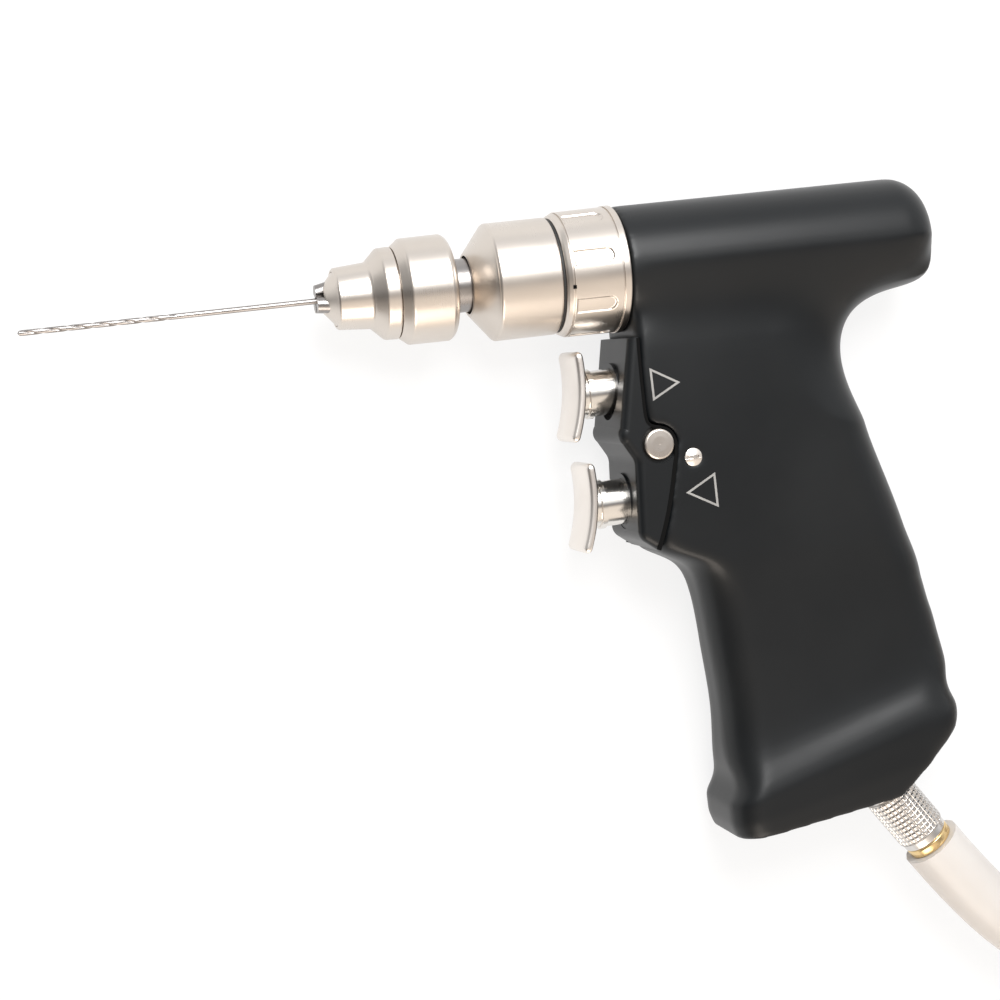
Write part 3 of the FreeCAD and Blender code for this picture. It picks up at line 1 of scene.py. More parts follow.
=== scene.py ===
# %% [markdown]
# # A pistol-grip bone drill
#
# The drill lies on its side on a white surface: its barrel runs along X, the bit points to -X, the grip
# goes down to -Y and +Z looks up at the viewer. The exact solids come ready made as the frame. This file
# gives them their finishes, and builds anew what needs more than a plain solid: the housing's soft skin, the
# bit's flutes, the knurl, the crowned finger pads, the locking ring's flutes and the air hose.

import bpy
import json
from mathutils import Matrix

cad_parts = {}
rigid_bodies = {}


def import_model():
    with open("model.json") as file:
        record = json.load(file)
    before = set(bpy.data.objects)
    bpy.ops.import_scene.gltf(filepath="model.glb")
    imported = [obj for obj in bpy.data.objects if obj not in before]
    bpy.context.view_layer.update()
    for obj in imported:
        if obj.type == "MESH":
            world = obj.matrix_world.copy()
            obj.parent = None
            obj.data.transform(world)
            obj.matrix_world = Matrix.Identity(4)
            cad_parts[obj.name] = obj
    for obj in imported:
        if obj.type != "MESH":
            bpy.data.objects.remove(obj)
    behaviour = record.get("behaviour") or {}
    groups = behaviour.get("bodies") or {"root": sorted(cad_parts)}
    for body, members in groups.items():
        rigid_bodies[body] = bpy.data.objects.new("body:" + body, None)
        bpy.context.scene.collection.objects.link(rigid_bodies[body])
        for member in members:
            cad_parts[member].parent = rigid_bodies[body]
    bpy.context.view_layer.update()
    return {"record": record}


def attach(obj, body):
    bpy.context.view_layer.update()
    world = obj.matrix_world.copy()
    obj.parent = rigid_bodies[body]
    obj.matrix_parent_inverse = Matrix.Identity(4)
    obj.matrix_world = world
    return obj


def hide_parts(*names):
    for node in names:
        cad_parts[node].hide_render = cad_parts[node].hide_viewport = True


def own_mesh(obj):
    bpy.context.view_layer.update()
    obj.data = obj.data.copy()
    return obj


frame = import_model()

import json
import math

import bmesh
import bpy
import numpy as np
from mathutils import Matrix, Vector
from mathutils.bvhtree import BVHTree

# %% [markdown]
# ## One ruler for all pieces
#
# Sizes are written in millimetres from the middle of the housing's front face: X goes back along the
# barrel, Y up to its top, Z to the viewer. `SHIFT` carries such a point into the frame. A second helper
# does the same for parts that stand on an axis of their own, such as the hose's coupling.

# %% The ruler
SHIFT = np.array([34.05, 77.2243, 16.85])


def to_frame(points):
    """Points in millimetres on the barrel's ruler, as metres in the frame."""
    return (np.asarray(points, float) + SHIFT) / 1000


def on_axis(start, direction, side):
    """Three unit vectors of an axis: along it, across it (side, made square), and the third one.
    Returns the start and a 3x3 matrix whose rows are those vectors."""
    along = np.array(direction, float) / np.linalg.norm(direction)
    across = np.array(side, float)
    across = across - across.dot(along) * along
    across /= np.linalg.norm(across)
    return np.array(start, float), np.stack([along, across, np.cross(along, across)])


BARREL = on_axis((0, 0, 0), (1, 0, 0), (0, 1, 0))
PORT_ANGLE = math.radians(55)
PORT = on_axis((61.1, -149.0, 0), (math.cos(PORT_ANGLE), -math.sin(PORT_ANGLE), 0), (0, 0, 1))

# %% [markdown]
# ## The camera
#
# The photograph was taken from about 0.6 m, from the front left and a little from below the barrel's
# line. The three columns of the matrix are the camera's right, its up and the way back from the picture,
# found from the ellipses of the round parts. The lens follows from 2200 pixels of focal length in a
# picture of 1000.

# %% Camera
camera_data = bpy.data.cameras.new("photo_camera")
camera_data.sensor_width = 36.0
camera_data.lens = 36.0 * 2200 / 1000
camera_data.clip_start = 0.01
camera = bpy.data.objects.new("photo_camera", camera_data)
bpy.context.scene.collection.objects.link(camera)
camera.matrix_world = Matrix((
    (0.9649348, 0.1272343, -0.2295915, -0.1366685),
    (-0.1112280, 0.9904545, 0.0814143, 0.0674221),
    (0.2377586, -0.0530225, 0.9698760, 0.5784150),
    (0, 0, 0, 1),
))
bpy.context.scene.camera = camera
print("camera", [round(value, 4) for value in camera.matrix_world.translation], "lens", camera_data.lens)

# %% [markdown]
# ## The air hose
#
# The hose is one smooth line with the hose's thickness. It leaves the brass ring, sinks to the surface in
# a long gentle bend and goes on to the right out of the picture, where the rest of its three metres lies
# in a neat coil: three turns on the surface, a short climb, and nearly two turns on top, which end in the
# connector for the air supply. A NURBS curve keeps the bends soft between few points, and a curve's bevel
# gives it its round section.

# %% Hose
HOSE_RADIUS = 0.0085
route = np.array([
    (108.1113, -90.2943, 16.85),
    (121.31, -109.13, 16.85),
    (140.63, -126.53, 15.14),
    (165.99, -140.59, 12.52),
    (197.71, -149.68, 9.91),
    (237.56, -153.17, 8.6),
]) / 1000
coil_middle = np.array([0.2775602, -0.0306683])


def coil_turns(turns, outer, inner, low, high, start, per_turn=24):
    """Points of a flat spiral: the angle grows evenly from start, the radius goes from outer to inner
    and the height from low to high along the same share of the way."""
    share = np.linspace(0, 1, int(round(turns * per_turn)) + 1)
    angle = start + share * turns * 2 * np.pi
    radius = outer + (inner - outer) * share
    return np.stack([coil_middle[0] + radius * np.cos(angle), coil_middle[1] + radius * np.sin(angle),
                     low + (high - low) * share], axis=1)


lower = coil_turns(3, 0.1225, 0.07135, 0.0086, 0.0086, -np.pi / 2)
climb = coil_turns(0.3, 0.07135, 0.068, 0.0086, 0.02565, -np.pi / 2)
upper = coil_turns(1.7, 0.068, 0.097, 0.02565, 0.02565, -np.pi / 2 + 0.6 * np.pi)
hose_points = np.concatenate([route, lower, climb[1:], upper[1:]])

hose_curve = bpy.data.curves.new("hose", "CURVE")
hose_curve.dimensions = "3D"
spline = hose_curve.splines.new("NURBS")
spline.points.add(len(hose_points) - 1)
spline.points.foreach_set("co", np.column_stack([hose_points, np.ones(len(hose_points))]).ravel())
spline.order_u = 3
spline.use_endpoint_u = True
spline.use_smooth = True
hose_curve.resolution_u = 6
hose_curve.bevel_depth = HOSE_RADIUS
hose_curve.bevel_resolution = 7
hose_curve.use_fill_caps = True
hose = bpy.data.objects.new("hose", hose_curve)
bpy.context.scene.collection.objects.link(hose)
steps = np.linalg.norm(np.diff(hose_points, axis=0), axis=1)
print("hose: points", len(hose_points), "runs added up", round(float(steps.sum()), 3), "m")

# %% [markdown]
# ## Surfaces from two numbers
#
# Each new piece is a sheet of points worked out from two parameters, such as "how far along" and "how far
# round". The sheet is a grid, so its faces follow from the grid alone. Where a direction comes back to its
# start, the last row is joined to the first one, and a row that shrinks to a point is welded.

# %% Grid helper


def surface(name, body, points, close_u=False, close_v=True):
    """Mesh from a grid of points (rows, columns, 3) on the barrel's ruler. Each face joins two
    neighbouring rows and columns; a closed direction wraps round."""
    rows, columns = points.shape[:2]
    index = np.arange(rows * columns).reshape(rows, columns)
    if close_u:
        index = np.concatenate([index, index[:1]])
    if close_v:
        index = np.concatenate([index, index[:, :1]], axis=1)
    quads = np.stack([index[:-1, :-1], index[:-1, 1:], index[1:, 1:], index[1:, :-1]], axis=-1).reshape(-1, 4)
    mesh = bpy.data.meshes.new(name)
    mesh.from_pydata(to_frame(points.reshape(-1, 3)).tolist(), [], quads.tolist())
    piece = bpy.data.objects.new(name, mesh)
    bpy.context.scene.collection.objects.link(piece)
    weld(mesh)
    mesh.shade_smooth()
    mesh.set_sharp_from_angle(angle=math.radians(38))
    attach(piece, body)
    return piece


def weld(mesh, gap=2e-7):
    """Join points that lie on each other, and turn all faces outwards."""
    work = bmesh.new()
    work.from_mesh(mesh)
    bmesh.ops.remove_doubles(work, verts=work.verts, dist=gap)
    bmesh.ops.dissolve_degenerate(work, dist=gap, edges=work.edges)
    bmesh.ops.recalc_face_normals(work, faces=work.faces)
    work.to_mesh(mesh)
    work.free()


# %% [markdown]
# ## Turned parts
#
# Most of the drill's bright parts come from a lathe. A lathe part is one closed outline of (distance,
# radius) points, swung round its axis. No real edge is knife sharp, so every corner of the outline is
# first replaced by a small arc: this is what catches the light as a fine bright line. Flutes and knurls are
# cut into the swung grid afterwards, where the outline has a run of close points for them.

# %% Lathe


def softened(outline, edge=0.15, steps=3):
    """The closed outline with each corner cut back by `edge` and bridged by a parabola through the
    corner's neighbours. Two more points beside each bridge keep the straight runs straight."""
    corner = np.array(outline, float)
    before, after = np.roll(corner, 1, axis=0), np.roll(corner, -1, axis=0)
    come, leave = before - corner, after - corner
    come_long = np.linalg.norm(come, axis=1, keepdims=True)
    leave_long = np.linalg.norm(leave, axis=1, keepdims=True)
    back = np.minimum(edge, 0.4 * np.minimum(come_long, leave_long))
    a, b = corner + come / come_long * back, corner + leave / leave_long * back
    share = np.linspace(0, 1, steps + 1)[None, :, None]
    bridge = ((1 - share) ** 2 * a[:, None] + 2 * share * (1 - share) * corner[:, None]
              + share ** 2 * b[:, None])
    lead = np.minimum(edge, 0.08 * come_long)
    tail = np.minimum(edge, 0.08 * leave_long)
    full = np.concatenate([(a + come / come_long * lead)[:, None], bridge,
                           (b + leave / leave_long * tail)[:, None]], axis=1)
    full = full.reshape(-1, 2)
    full[:, 1] = np.maximum(full[:, 1], 0.0)
    return full


def arc(start, end, bulge, steps=5):
    """Points from start to end on an arc; bulge is the arc's height over its chord, to the left."""
    start, end = np.array(start, float), np.array(end, float)
    share = np.linspace(0, 1, steps + 1)[:, None]
    chord = end - start
    left = np.array([-chord[1], chord[0]]) / np.linalg.norm(chord)
    return (start + chord * share + left * bulge * 4 * share * (1 - share)).tolist()


def swing(outline, axis, segments):
    """Grid of a turned part: outline point (distance, radius) and angle t give the place
    start + distance * along + radius * (cos t * across + sin t * third)."""
    start, (along, across, third) = axis
    turn = np.linspace(0, 2 * np.pi, segments, endpoint=False)
    out = np.cos(turn)[:, None] * across + np.sin(turn)[:, None] * third
    return start + outline[:, None, :1] * along + outline[:, None, 1:] * out[None]


def fine_run(outline, low, high, count):
    """The outline with one long straight run cut fine: the run that starts before the distance low and
    ends past the distance high becomes count points, evenly spaced."""
    at = int(np.nonzero((outline[:-1, 0] < low) & (outline[1:, 0] > high))[0][0])
    run = np.linspace(outline[at], outline[at + 1], count)[1:-1]
    return np.concatenate([outline[:at + 1], run, outline[at + 1:]])


def turned(name, body, front, outline, axis=BARREL, segments=128, edge=0.15, replaces=()):
    """A lathe part whose outline starts `front` millimetres along the axis."""
    points = softened(outline, edge)
    points[:, 0] += front
    piece = surface(name, body, swing(points, axis, segments), close_u=True)
    for node in replaces:
        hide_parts(node)
    print(name, "faces", len(piece.data.polygons))
    return piece


# %% [markdown]
# ## Chuck and coupling collar
#
# The attachment is a row of turned parts: the stepped tightening sleeve in front, the wider rear sleeve
# behind it, four millimetres of bare shaft, and the coupling collar with its cone. Their outlines are
# those of the solids, with the fine edge breaks that a lathe hand gives them.

# %% Chuck parts
collar = turned("collar_shell", "handpiece", -40.45, [
    (0, 7.6), (0.05, 8.2), (5.2, 14.45), *arc((5.45, 14.7), (6.3, 15.4), 0.14), (22.0, 15.4), (22.3, 15.1),
    (22.3, 11.95), (33.8, 11.95), (33.8, 9.75), (22.7, 9.75), (22.7, 10.5), (2.4, 10.5), (2.4, 7.6),
], edge=0.25, replaces=["coupling_collar"])

seal = turned("seal_band", "handpiece", -18.15, [(0, 12.0), (0, 15.0), (0.8, 15.0), (0.8, 12.0)],
              edge=0.2, replaces=["seal_ring"])

rear = turned("chuck_rear_sleeve", "chuck", -59.75, [
    (0, 10.8), (0, 11.9), (0.3, 12.1), (1.9, 13.3), *arc((1.95, 13.35), (2.8, 13.8), 0.1), (13.0, 13.9),
    *arc((13.05, 13.88), (14.85, 11.4), 0.45), (15.3, 10.1), (15.3, 7.6), (13.9, 7.6), (13.9, 10.8),
], edge=0.2, replaces=["rear_sleeve"])

front = turned("chuck_front_sleeve", "chuck_sleeve", -75.6, [
    (0, 7.08), (0, 7.5), (0.5, 8.0), (8.3, 8.6), *arc((8.5, 8.62), (9.4, 9.2), -0.1), (11.7, 11.4),
    *arc((11.75, 11.45), (12.6, 11.88), 0.1), (15.4, 12.0), (15.7, 11.7), (15.7, 10.1), (11.95, 10.1),
    (11.95, 7.73), (9.45, 7.73), (9.45, 7.08),
], edge=0.2, replaces=["tightening_sleeve"])

# %% [markdown]
# ## Locking ring
#
# The ring behind the collar is turned by the fingers, so eight shallow flutes are milled into it. Seen
# from outside a flute is a slot with a round end. Its depth follows from how far a point of the ring lies
# inside that outline: outside nothing, then a short steep wall, then a flat floor.

# %% Locking ring with its flutes


def smooth_step(value, low, high):
    """0 below low, 1 above high, an S-shaped ramp between."""
    share = np.clip((value - low) / (high - low), 0, 1)
    return share * share * (3 - 2 * share)


def slot_depth(along, across, length, half_width, wall, depth):
    """How deep a point lies in a slot with a square start and a round end: the distance to the outline
    grows inwards, and the depth rises with it over the width of the wall, in an S-shaped ramp."""
    straight = np.minimum(along, half_width - np.abs(across))
    past = along - (length - half_width)
    round_end = half_width - np.hypot(np.maximum(past, 0), across)
    inside = np.where(past > 0, round_end, straight)
    return depth * smooth_step(inside, 0, wall)


RING_LENGTH, RING_FRONT = 17.2, -17.35
FLUTES, FIRST_FLUTE, FLUTE_START, FLUTE_RADIUS = 8, math.radians(-12.5), 2.3, 16.5
ring_outline = fine_run(softened([
    (0, 14.7), (0, 15.2), (0.5, 15.7), (1.6, 16.25), (1.6, 16.0), (1.95, 16.0), (1.95, 16.45),
    (15.0, 16.6), (15.0, 16.4), (15.3, 16.4), (15.3, 16.85), (16.9, 16.85),
    (RING_LENGTH, 16.55), (RING_LENGTH, 14.7),
], edge=0.1, steps=2), low=3, high=14, count=76)
ring_grid = swing(ring_outline + np.array([RING_FRONT, 0]), BARREL, 560)
ring_turn = np.arctan2(ring_grid[..., 2], ring_grid[..., 1])
ring_radius = np.hypot(ring_grid[..., 1], ring_grid[..., 2])
ring_depth = np.zeros_like(ring_turn)
for number in range(FLUTES):
    middle = FIRST_FLUTE + 2 * np.pi / FLUTES * number
    off = (ring_turn - middle + np.pi) % (2 * np.pi) - np.pi
    ring_depth += slot_depth(ring_grid[..., 0] - RING_FRONT - FLUTE_START, off * FLUTE_RADIUS,
                             length=11.0, half_width=2.2, wall=0.4, depth=0.42)
ring_depth[ring_radius < 16.2] = 0
ring_grid[..., 1:] *= ((ring_radius - ring_depth) / ring_radius)[..., None]
ring = surface("grip_ring", "lock_ring", ring_grid, close_u=True)
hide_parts("locking_ring")
print("locking ring faces", len(ring.data.polygons))

# %% [markdown]
# ## Drill bit
#
# A twist drill is a round bar with two grooves wound round it. Looked at end on, its radius drops where a
# groove passes, and that dip turns with the distance from the tip: one turn in about 12 mm. The grooves
# run out between 37 and 40 mm, and the tip is a cone of 118 degrees.

# %% Drill bit with its flutes
BIT_RADIUS, BIT_TIP, BIT_END = 0.75, -155.7, -53.7
GROOVES_END, GROOVE_PITCH, GROOVE_SHARE = 40, 6.2, 0.52
point_length = BIT_RADIUS / math.tan(math.radians(59))
stations = np.concatenate([np.linspace(0, point_length, 6), np.linspace(point_length, GROOVES_END, 330)[1:],
                           np.linspace(GROOVES_END, BIT_END - BIT_TIP, 24)[1:]])
around = np.linspace(0, 2 * np.pi, 40, endpoint=False)
distance, angle = np.meshgrid(stations, around, indexing="ij")
cone = np.minimum(1.0, distance / point_length)
groove = np.maximum(0.0, np.cos(angle * 2 - 2 * np.pi * distance / GROOVE_PITCH)) ** 2
run_out = np.clip((GROOVES_END - distance) / 3, 0, 1)
radius = BIT_RADIUS * cone * (1 - GROOVE_SHARE * groove * run_out)
bit_grid = np.stack([BIT_TIP + distance, radius * np.cos(angle), radius * np.sin(angle)], axis=-1)
bit_grid = np.concatenate([bit_grid, np.broadcast_to([[[BIT_END, 0.0, 0.0]]], (1, len(around), 3))])
bit = surface("twist_drill", "chuck", bit_grid)
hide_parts("drill_bit")
print("drill bit faces", len(bit.data.polygons))

# %% [markdown]
# ## Finger pads
#
# A pad is hollow along its height, where the finger lies, crowned across and round at all its edges. Its
# section is a slightly swollen rectangle. The section rides along the hollow's arc and shrinks in a
# quarter ellipse near both ends, so that the ends are round as well.

# %% Finger pads


def finger_pad(key, height_at):
    """Grid of a pad: the place along the height turns about the hollow's centre, angle t goes round the
    section, a superellipse whose front follows the crown."""
    hollow, crown, tilt, face_at = 42.0, 22.0, math.radians(-8.0), -17.2
    thick, width, tall, end = 4.2, 16.0, 22.5, 1.4
    place = np.concatenate([
        -tall / 2 + end * (1 - np.cos(np.linspace(0, np.pi / 2, 8))),
        np.linspace(-tall / 2 + end, tall / 2 - end, 30)[1:-1],
        tall / 2 - end * (1 - np.cos(np.linspace(np.pi / 2, 0, 8))),
    ])
    into = np.clip((tall / 2 - np.abs(place)) / end, 0, 1)
    inset = end * (1 - np.sqrt(np.maximum(0, 1 - (1 - into) ** 2)))
    t = np.linspace(0, 2 * np.pi, 72, endpoint=False)
    shape_y = np.sign(np.cos(t)) * np.abs(np.cos(t)) ** 0.42
    shape_x = np.sign(np.sin(t)) * np.abs(np.sin(t)) ** 0.55
    across = (width / 2 - inset[:, None]) * shape_y[None]
    drop = crown - np.sqrt(crown ** 2 - across ** 2)
    front_face = drop + inset[:, None]
    back_face = thick - inset[:, None]
    reach = hollow + front_face + (back_face - front_face) * (0.5 + 0.5 * shape_x[None])
    centre = np.array([face_at - hollow * math.cos(tilt), height_at - hollow * math.sin(tilt)])
    swing_at = tilt + place[:, None] / hollow
    grid = np.stack([centre[0] + reach * np.cos(swing_at), centre[1] + reach * np.sin(swing_at), across],
                    axis=-1)
    start = grid[:1].mean(axis=1, keepdims=True).repeat(len(t), axis=1)
    stop = grid[-1:].mean(axis=1, keepdims=True).repeat(len(t), axis=1)
    pad = surface(f"{key}_pad", f"{key}_trigger", np.concatenate([start, grid, stop]))
    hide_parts(f"{key}_finger_pad")
    print(key, "pad faces", len(pad.data.polygons))
    return pad


upper_pad = finger_pad("upper", -32.1)
lower_pad = finger_pad("lower", -61.5)

# %% [markdown]
# ## Button and screw
#
# The button is a flat disc with a broken edge. The screw has a low dome with a driver slot: its height
# falls off with the square of the distance from the middle, and drops steeply inside the slot.

# %% Button and screw
BUTTON_AXIS = on_axis((3.1, -46.7, 14.4), (0, 0, -1), (1, 0, 0))
button = turned("button_cap", "side_button", 0, [
    (0.12, 0), (0.1, 2.0), (0.16, 3.5), *arc((0.2, 3.65), (0.75, 4.15), 0.08), (7, 4.15), (7, 0),
], axis=BUTTON_AXIS, segments=96, edge=0.1, replaces=["lock_button"])

SCREW = np.array([12.0, -51.2, 13.85])
HEAD_RADIUS, SHANK_RADIUS, SHANK_LENGTH = 2.35, 1.5, 9.0
rim = np.linspace(0, 2 * np.pi, 96, endpoint=False)
reach, angle = np.meshgrid(np.linspace(0, 1, 26) * HEAD_RADIUS, rim, indexing="ij")
sx, sy = reach * np.cos(angle), reach * np.sin(angle)
dome = 0.85 * (1 - (reach / 2.6) ** 2)
SLOT_HALF_WIDTH, SLOT_WALL, SLOT_DEPTH = 0.42, 0.12, 0.75
top = dome - SLOT_DEPTH * smooth_step(SLOT_HALF_WIDTH - np.abs(sy), 0, SLOT_WALL)
ring_at = np.stack([np.cos(rim), np.sin(rim), np.zeros(len(rim))], axis=-1)[None]
screw_grid = np.concatenate([
    SCREW + np.stack([sx, sy, top], axis=-1),
    SCREW + HEAD_RADIUS * ring_at + (0, 0, 0.02),
    SCREW + SHANK_RADIUS * ring_at + (0, 0, 0.02),
    SCREW + SHANK_RADIUS * ring_at - (0, 0, SHANK_LENGTH),
    SCREW + 0 * ring_at - (0, 0, SHANK_LENGTH),
])
screw = surface("slotted_screw", "handpiece", screw_grid)
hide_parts("grip_screw")
print("button and screw faces", len(button.data.polygons), len(screw.data.polygons))

# %% [markdown]
# ## Knurled coupling
#
# The hose's coupling is gripped with the fingers, so its middle is knurled: two sets of grooves cross, one
# round the part and one along it. Each groove takes material away where its wave is low, and what is left
# is a field of small squares.

# %% Hose coupling and brass ring
PORT_START, KNURL_ROW, KNURL_COLUMNS, KNURL_DEPTH = -3.0, 1.46, 30, 0.42
coupling_outline = fine_run(softened([
    (0, 4.65), (0, 7.1), (4.6, 7.1), (4.6, 6.6), (5.2, 6.6), (5.2, 7.1), (20.4, 7.1), (20.7, 6.65),
    (22.6, 6.65), (23.0, 6.25), (23.0, 4.65),
], edge=0.12, steps=2), low=6, high=19, count=122)
segments = KNURL_COLUMNS * 12
coupling_grid = swing(coupling_outline + np.array([PORT_START, 0]), PORT, segments)
turn = np.linspace(0, 2 * np.pi, segments, endpoint=False)[None]
far, wide = coupling_outline[:, :1], coupling_outline[:, 1:]
rows = np.abs(np.sin(np.pi * (far - 5.6) / KNURL_ROW))
columns = np.abs(np.sin(KNURL_COLUMNS / 2 * turn))
groove = 1 - np.clip(np.minimum(rows, columns) / 0.62, 0, 1)
cut = KNURL_DEPTH * groove * ((far > 5.4) & (far < 20.3) & (wide > 7.0))
centre = (PORT[0] + (far + PORT_START) * PORT[1][0])[:, None]
coupling_grid = centre + (coupling_grid - centre) * (1 - cut / wide)[..., None]
coupling = surface("knurled_coupling", "handpiece", coupling_grid, close_u=True)
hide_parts("hose_coupling")

ferrule = turned("brass_ring", "handpiece", 20.0, [
    (0, 4.65), (0, 6.3), (0.3, 6.6), (2.3, 6.6), (2.6, 6.3), (2.6, 4.65),
], axis=PORT, segments=96, edge=0.2, replaces=["hose_ferrule"])
print("coupling faces", len(coupling.data.polygons))

# %% [markdown]
# ## Housing shell
#
# The black housing is a casting: barrel, grip and foot flow into each other, with a wide hollow where the
# back of the grip meets the barrel, and soft rounds where the sides do. The solid has the exact forms and
# small rounds. Its skin is remade here as an even mesh, which then settles: in the hollow places each
# point goes towards the mean of its neighbours again and again, until the corner is filled like a bead of
# putty. Bores and seams are left as they are. At last the back of the grip moves out by up to 1.3 mm, where
# the photograph shows it fuller than the solid, and the band above the foot settles a little.

# %% Housing shell


def even_copy(name, node, size):
    """A new object with the node's form, in an even mesh of the given cell size in millimetres."""
    piece = bpy.data.objects.new(name, bpy.data.objects[node].data.copy())
    bpy.context.scene.collection.objects.link(piece)
    remesh = piece.modifiers.new("even_mesh", "REMESH")
    remesh.mode = "VOXEL"
    remesh.voxel_size = size / 1000
    remesh.use_smooth_shade = True
    graph = bpy.context.evaluated_depsgraph_get()
    made = bpy.data.meshes.new_from_object(piece.evaluated_get(graph), depsgraph=graph)
    piece.modifiers.clear()
    piece.data = made
    return piece


class Skin:
    """The points of a mesh with their neighbours, which can settle where a weight allows it."""

    def __init__(self, mesh):
        self.mesh = mesh
        self.points = np.empty(len(mesh.vertices) * 3)
        mesh.vertices.foreach_get("co", self.points)
        self.points = self.points.reshape(-1, 3) * 1000 - SHIFT
        edges = np.empty(len(mesh.edges) * 2, int)
        mesh.edges.foreach_get("vertices", edges)
        edges = edges.reshape(-1, 2)
        pairs = np.concatenate([edges, edges[:, ::-1]])
        self.pairs = pairs[np.argsort(pairs[:, 0], kind="stable")]

    def settle(self, weight, times):
        """Move each point a share `weight` of the way to the mean of its neighbours, many times."""
        active = np.nonzero(weight > 0.002)[0]
        pairs = self.pairs[(weight > 0.002)[self.pairs[:, 0]]]
        start = np.searchsorted(pairs[:, 0], active)
        count = np.diff(np.append(start, len(pairs)))[:, None]
        share = weight[active, None]
        for _ in range(times):
            mean = np.add.reduceat(self.points[pairs[:, 1]], start) / count
            self.points[active] += share * (mean - self.points[active])

    def write(self):
        """Put the points back into the mesh, on the frame's ruler."""
        self.mesh.vertices.foreach_set("co", to_frame(self.points).ravel())
        self.mesh.update()


shell = even_copy("housing_shell", "housing", 0.75)
skin = Skin(shell.data)
skin.settle(np.full(len(skin.points), 0.5), 5)

# the hollow behind the grip; what lies within the barrel's bores stays
BORE_RADIUS, FREE_RADIUS, CORNER_X, CORNER_Y = 14.6, 15.4, 64.0, -21.5
x, y, z = skin.points.T
outside = smooth_step(np.hypot(y, z) + 0.6 * np.maximum(x - 78, 0), BORE_RADIUS, FREE_RADIUS)
from_corner = np.hypot(x - CORNER_X, y - CORNER_Y)
below = smooth_step(-y, 7, 15)
skin.settle(outside * below * (1 - smooth_step(from_corner, 6, 27)), 900)

# the crease on both sides, where the barrel goes over into the grip
x, y, z = skin.points.T
beside = smooth_step(np.abs(z), 8.5, 10.5) * (1 - smooth_step(np.abs(y + 10.5), 3, 11))
skin.settle(outside * beside * smooth_step(x, 2, 6), 120)

# the back of the grip: how far it moves out at each depth below the barrel's axis
DEPTHS = [92, 99, 102.4, 106, 109.3, 113, 119.7, 123.1, 126.6, 129.5, 133.5]
SWELLS = [0, 0.8, 1.3, 1.1, 0.8, 0.5, 0.4, 1.1, 1.3, 0.2, -0.2]
x, y, z = skin.points.T
skin.points[:, 0] += np.interp(-y, DEPTHS, SWELLS) * smooth_step(x, 58, 76)
skin.settle(smooth_step(-y, 96, 102) * (1 - smooth_step(-y, 138, 142)) * smooth_step(x, 60, 74), 12)
skin.write()
shell.data.shade_smooth()
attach(shell, "handpiece")
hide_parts("housing")
print("housing shell faces", len(shell.data.polygons))

# %% [markdown]
# ## Shader groups
#
# Four effects come back in several finishes, so each is built once as a group: the fine rings that turning
# leaves on metal, the blasted grain of satin surfaces, the soft patches of a handled coating, and the few
# specks of dust. They read Object coordinates, so the pattern stays on its piece.

# %% Shader groups


def new_group(name, inputs, outputs):
    """An empty shader group with named float or vector sockets."""
    group = bpy.data.node_groups.new(name, "ShaderNodeTree")
    for title, kind, value in inputs:
        socket = group.interface.new_socket(title, in_out="INPUT", socket_type=kind)
        if value is not None:
            socket.default_value = value
    for title, kind in outputs:
        group.interface.new_socket(title, in_out="OUTPUT", socket_type=kind)
    return group, group.nodes.new("NodeGroupInput"), group.nodes.new("NodeGroupOutput")


def math_node(tree, operation, *values):
    """A Math node; a value is a number or a socket to read from."""
    node = tree.nodes.new("ShaderNodeMath")
    node.operation = operation
    for i, value in enumerate(values):
        if isinstance(value, (int, float)):
            node.inputs[i].default_value = value
        else:
            tree.links.new(value, node.inputs[i])
    return node.outputs[0]


def noise(tree, vector, scale, detail=3.0, rough=0.55):
    """The value of a Noise texture; its scale is a number or a socket to read from."""
    node = tree.nodes.new("ShaderNodeTexNoise")
    node.inputs["Detail"].default_value = detail
    node.inputs["Roughness"].default_value = rough
    tree.links.new(vector, node.inputs["Vector"])
    if isinstance(scale, (int, float)):
        node.inputs["Scale"].default_value = scale
    else:
        tree.links.new(scale, node.inputs["Scale"])
    return node.outputs["Fac"]


FLOAT, VECTOR = "NodeSocketFloat", "NodeSocketVector"

turning, given, made = new_group("turning_marks", [
    ("Vector", VECTOR, None), ("Pitch", FLOAT, 9000.0), ("Depth", FLOAT, 1.0)],
    [("Height", FLOAT), ("Mask", FLOAT)])
squeeze = turning.nodes.new("ShaderNodeVectorMath")
squeeze.operation = "MULTIPLY"
squeeze.inputs[1].default_value = (1.0, 0.02, 0.02)
turning.links.new(given.outputs["Vector"], squeeze.inputs[0])
fine = noise(turning, squeeze.outputs[0], given.outputs["Pitch"], 2.0, 0.6)
coarse = noise(turning, squeeze.outputs[0], math_node(turning, "MULTIPLY", given.outputs["Pitch"], 0.13), 2.0)
both = math_node(turning, "MULTIPLY_ADD", fine, 0.7, math_node(turning, "MULTIPLY", coarse, 0.3))
turning.links.new(math_node(turning, "MULTIPLY", both, given.outputs["Depth"]), made.inputs["Height"])
turning.links.new(both, made.inputs["Mask"])

grain, given, made = new_group("blasted_grain", [
    ("Vector", VECTOR, None), ("Scale", FLOAT, 5000.0)], [("Height", FLOAT), ("Mask", FLOAT)])
small = noise(grain, given.outputs["Vector"], given.outputs["Scale"], 4.0, 0.6)
grain.links.new(small, made.inputs["Height"])
centred = math_node(grain, "SUBTRACT", small, 0.5)
grain.links.new(math_node(grain, "MULTIPLY", centred, 2.0), made.inputs["Mask"])

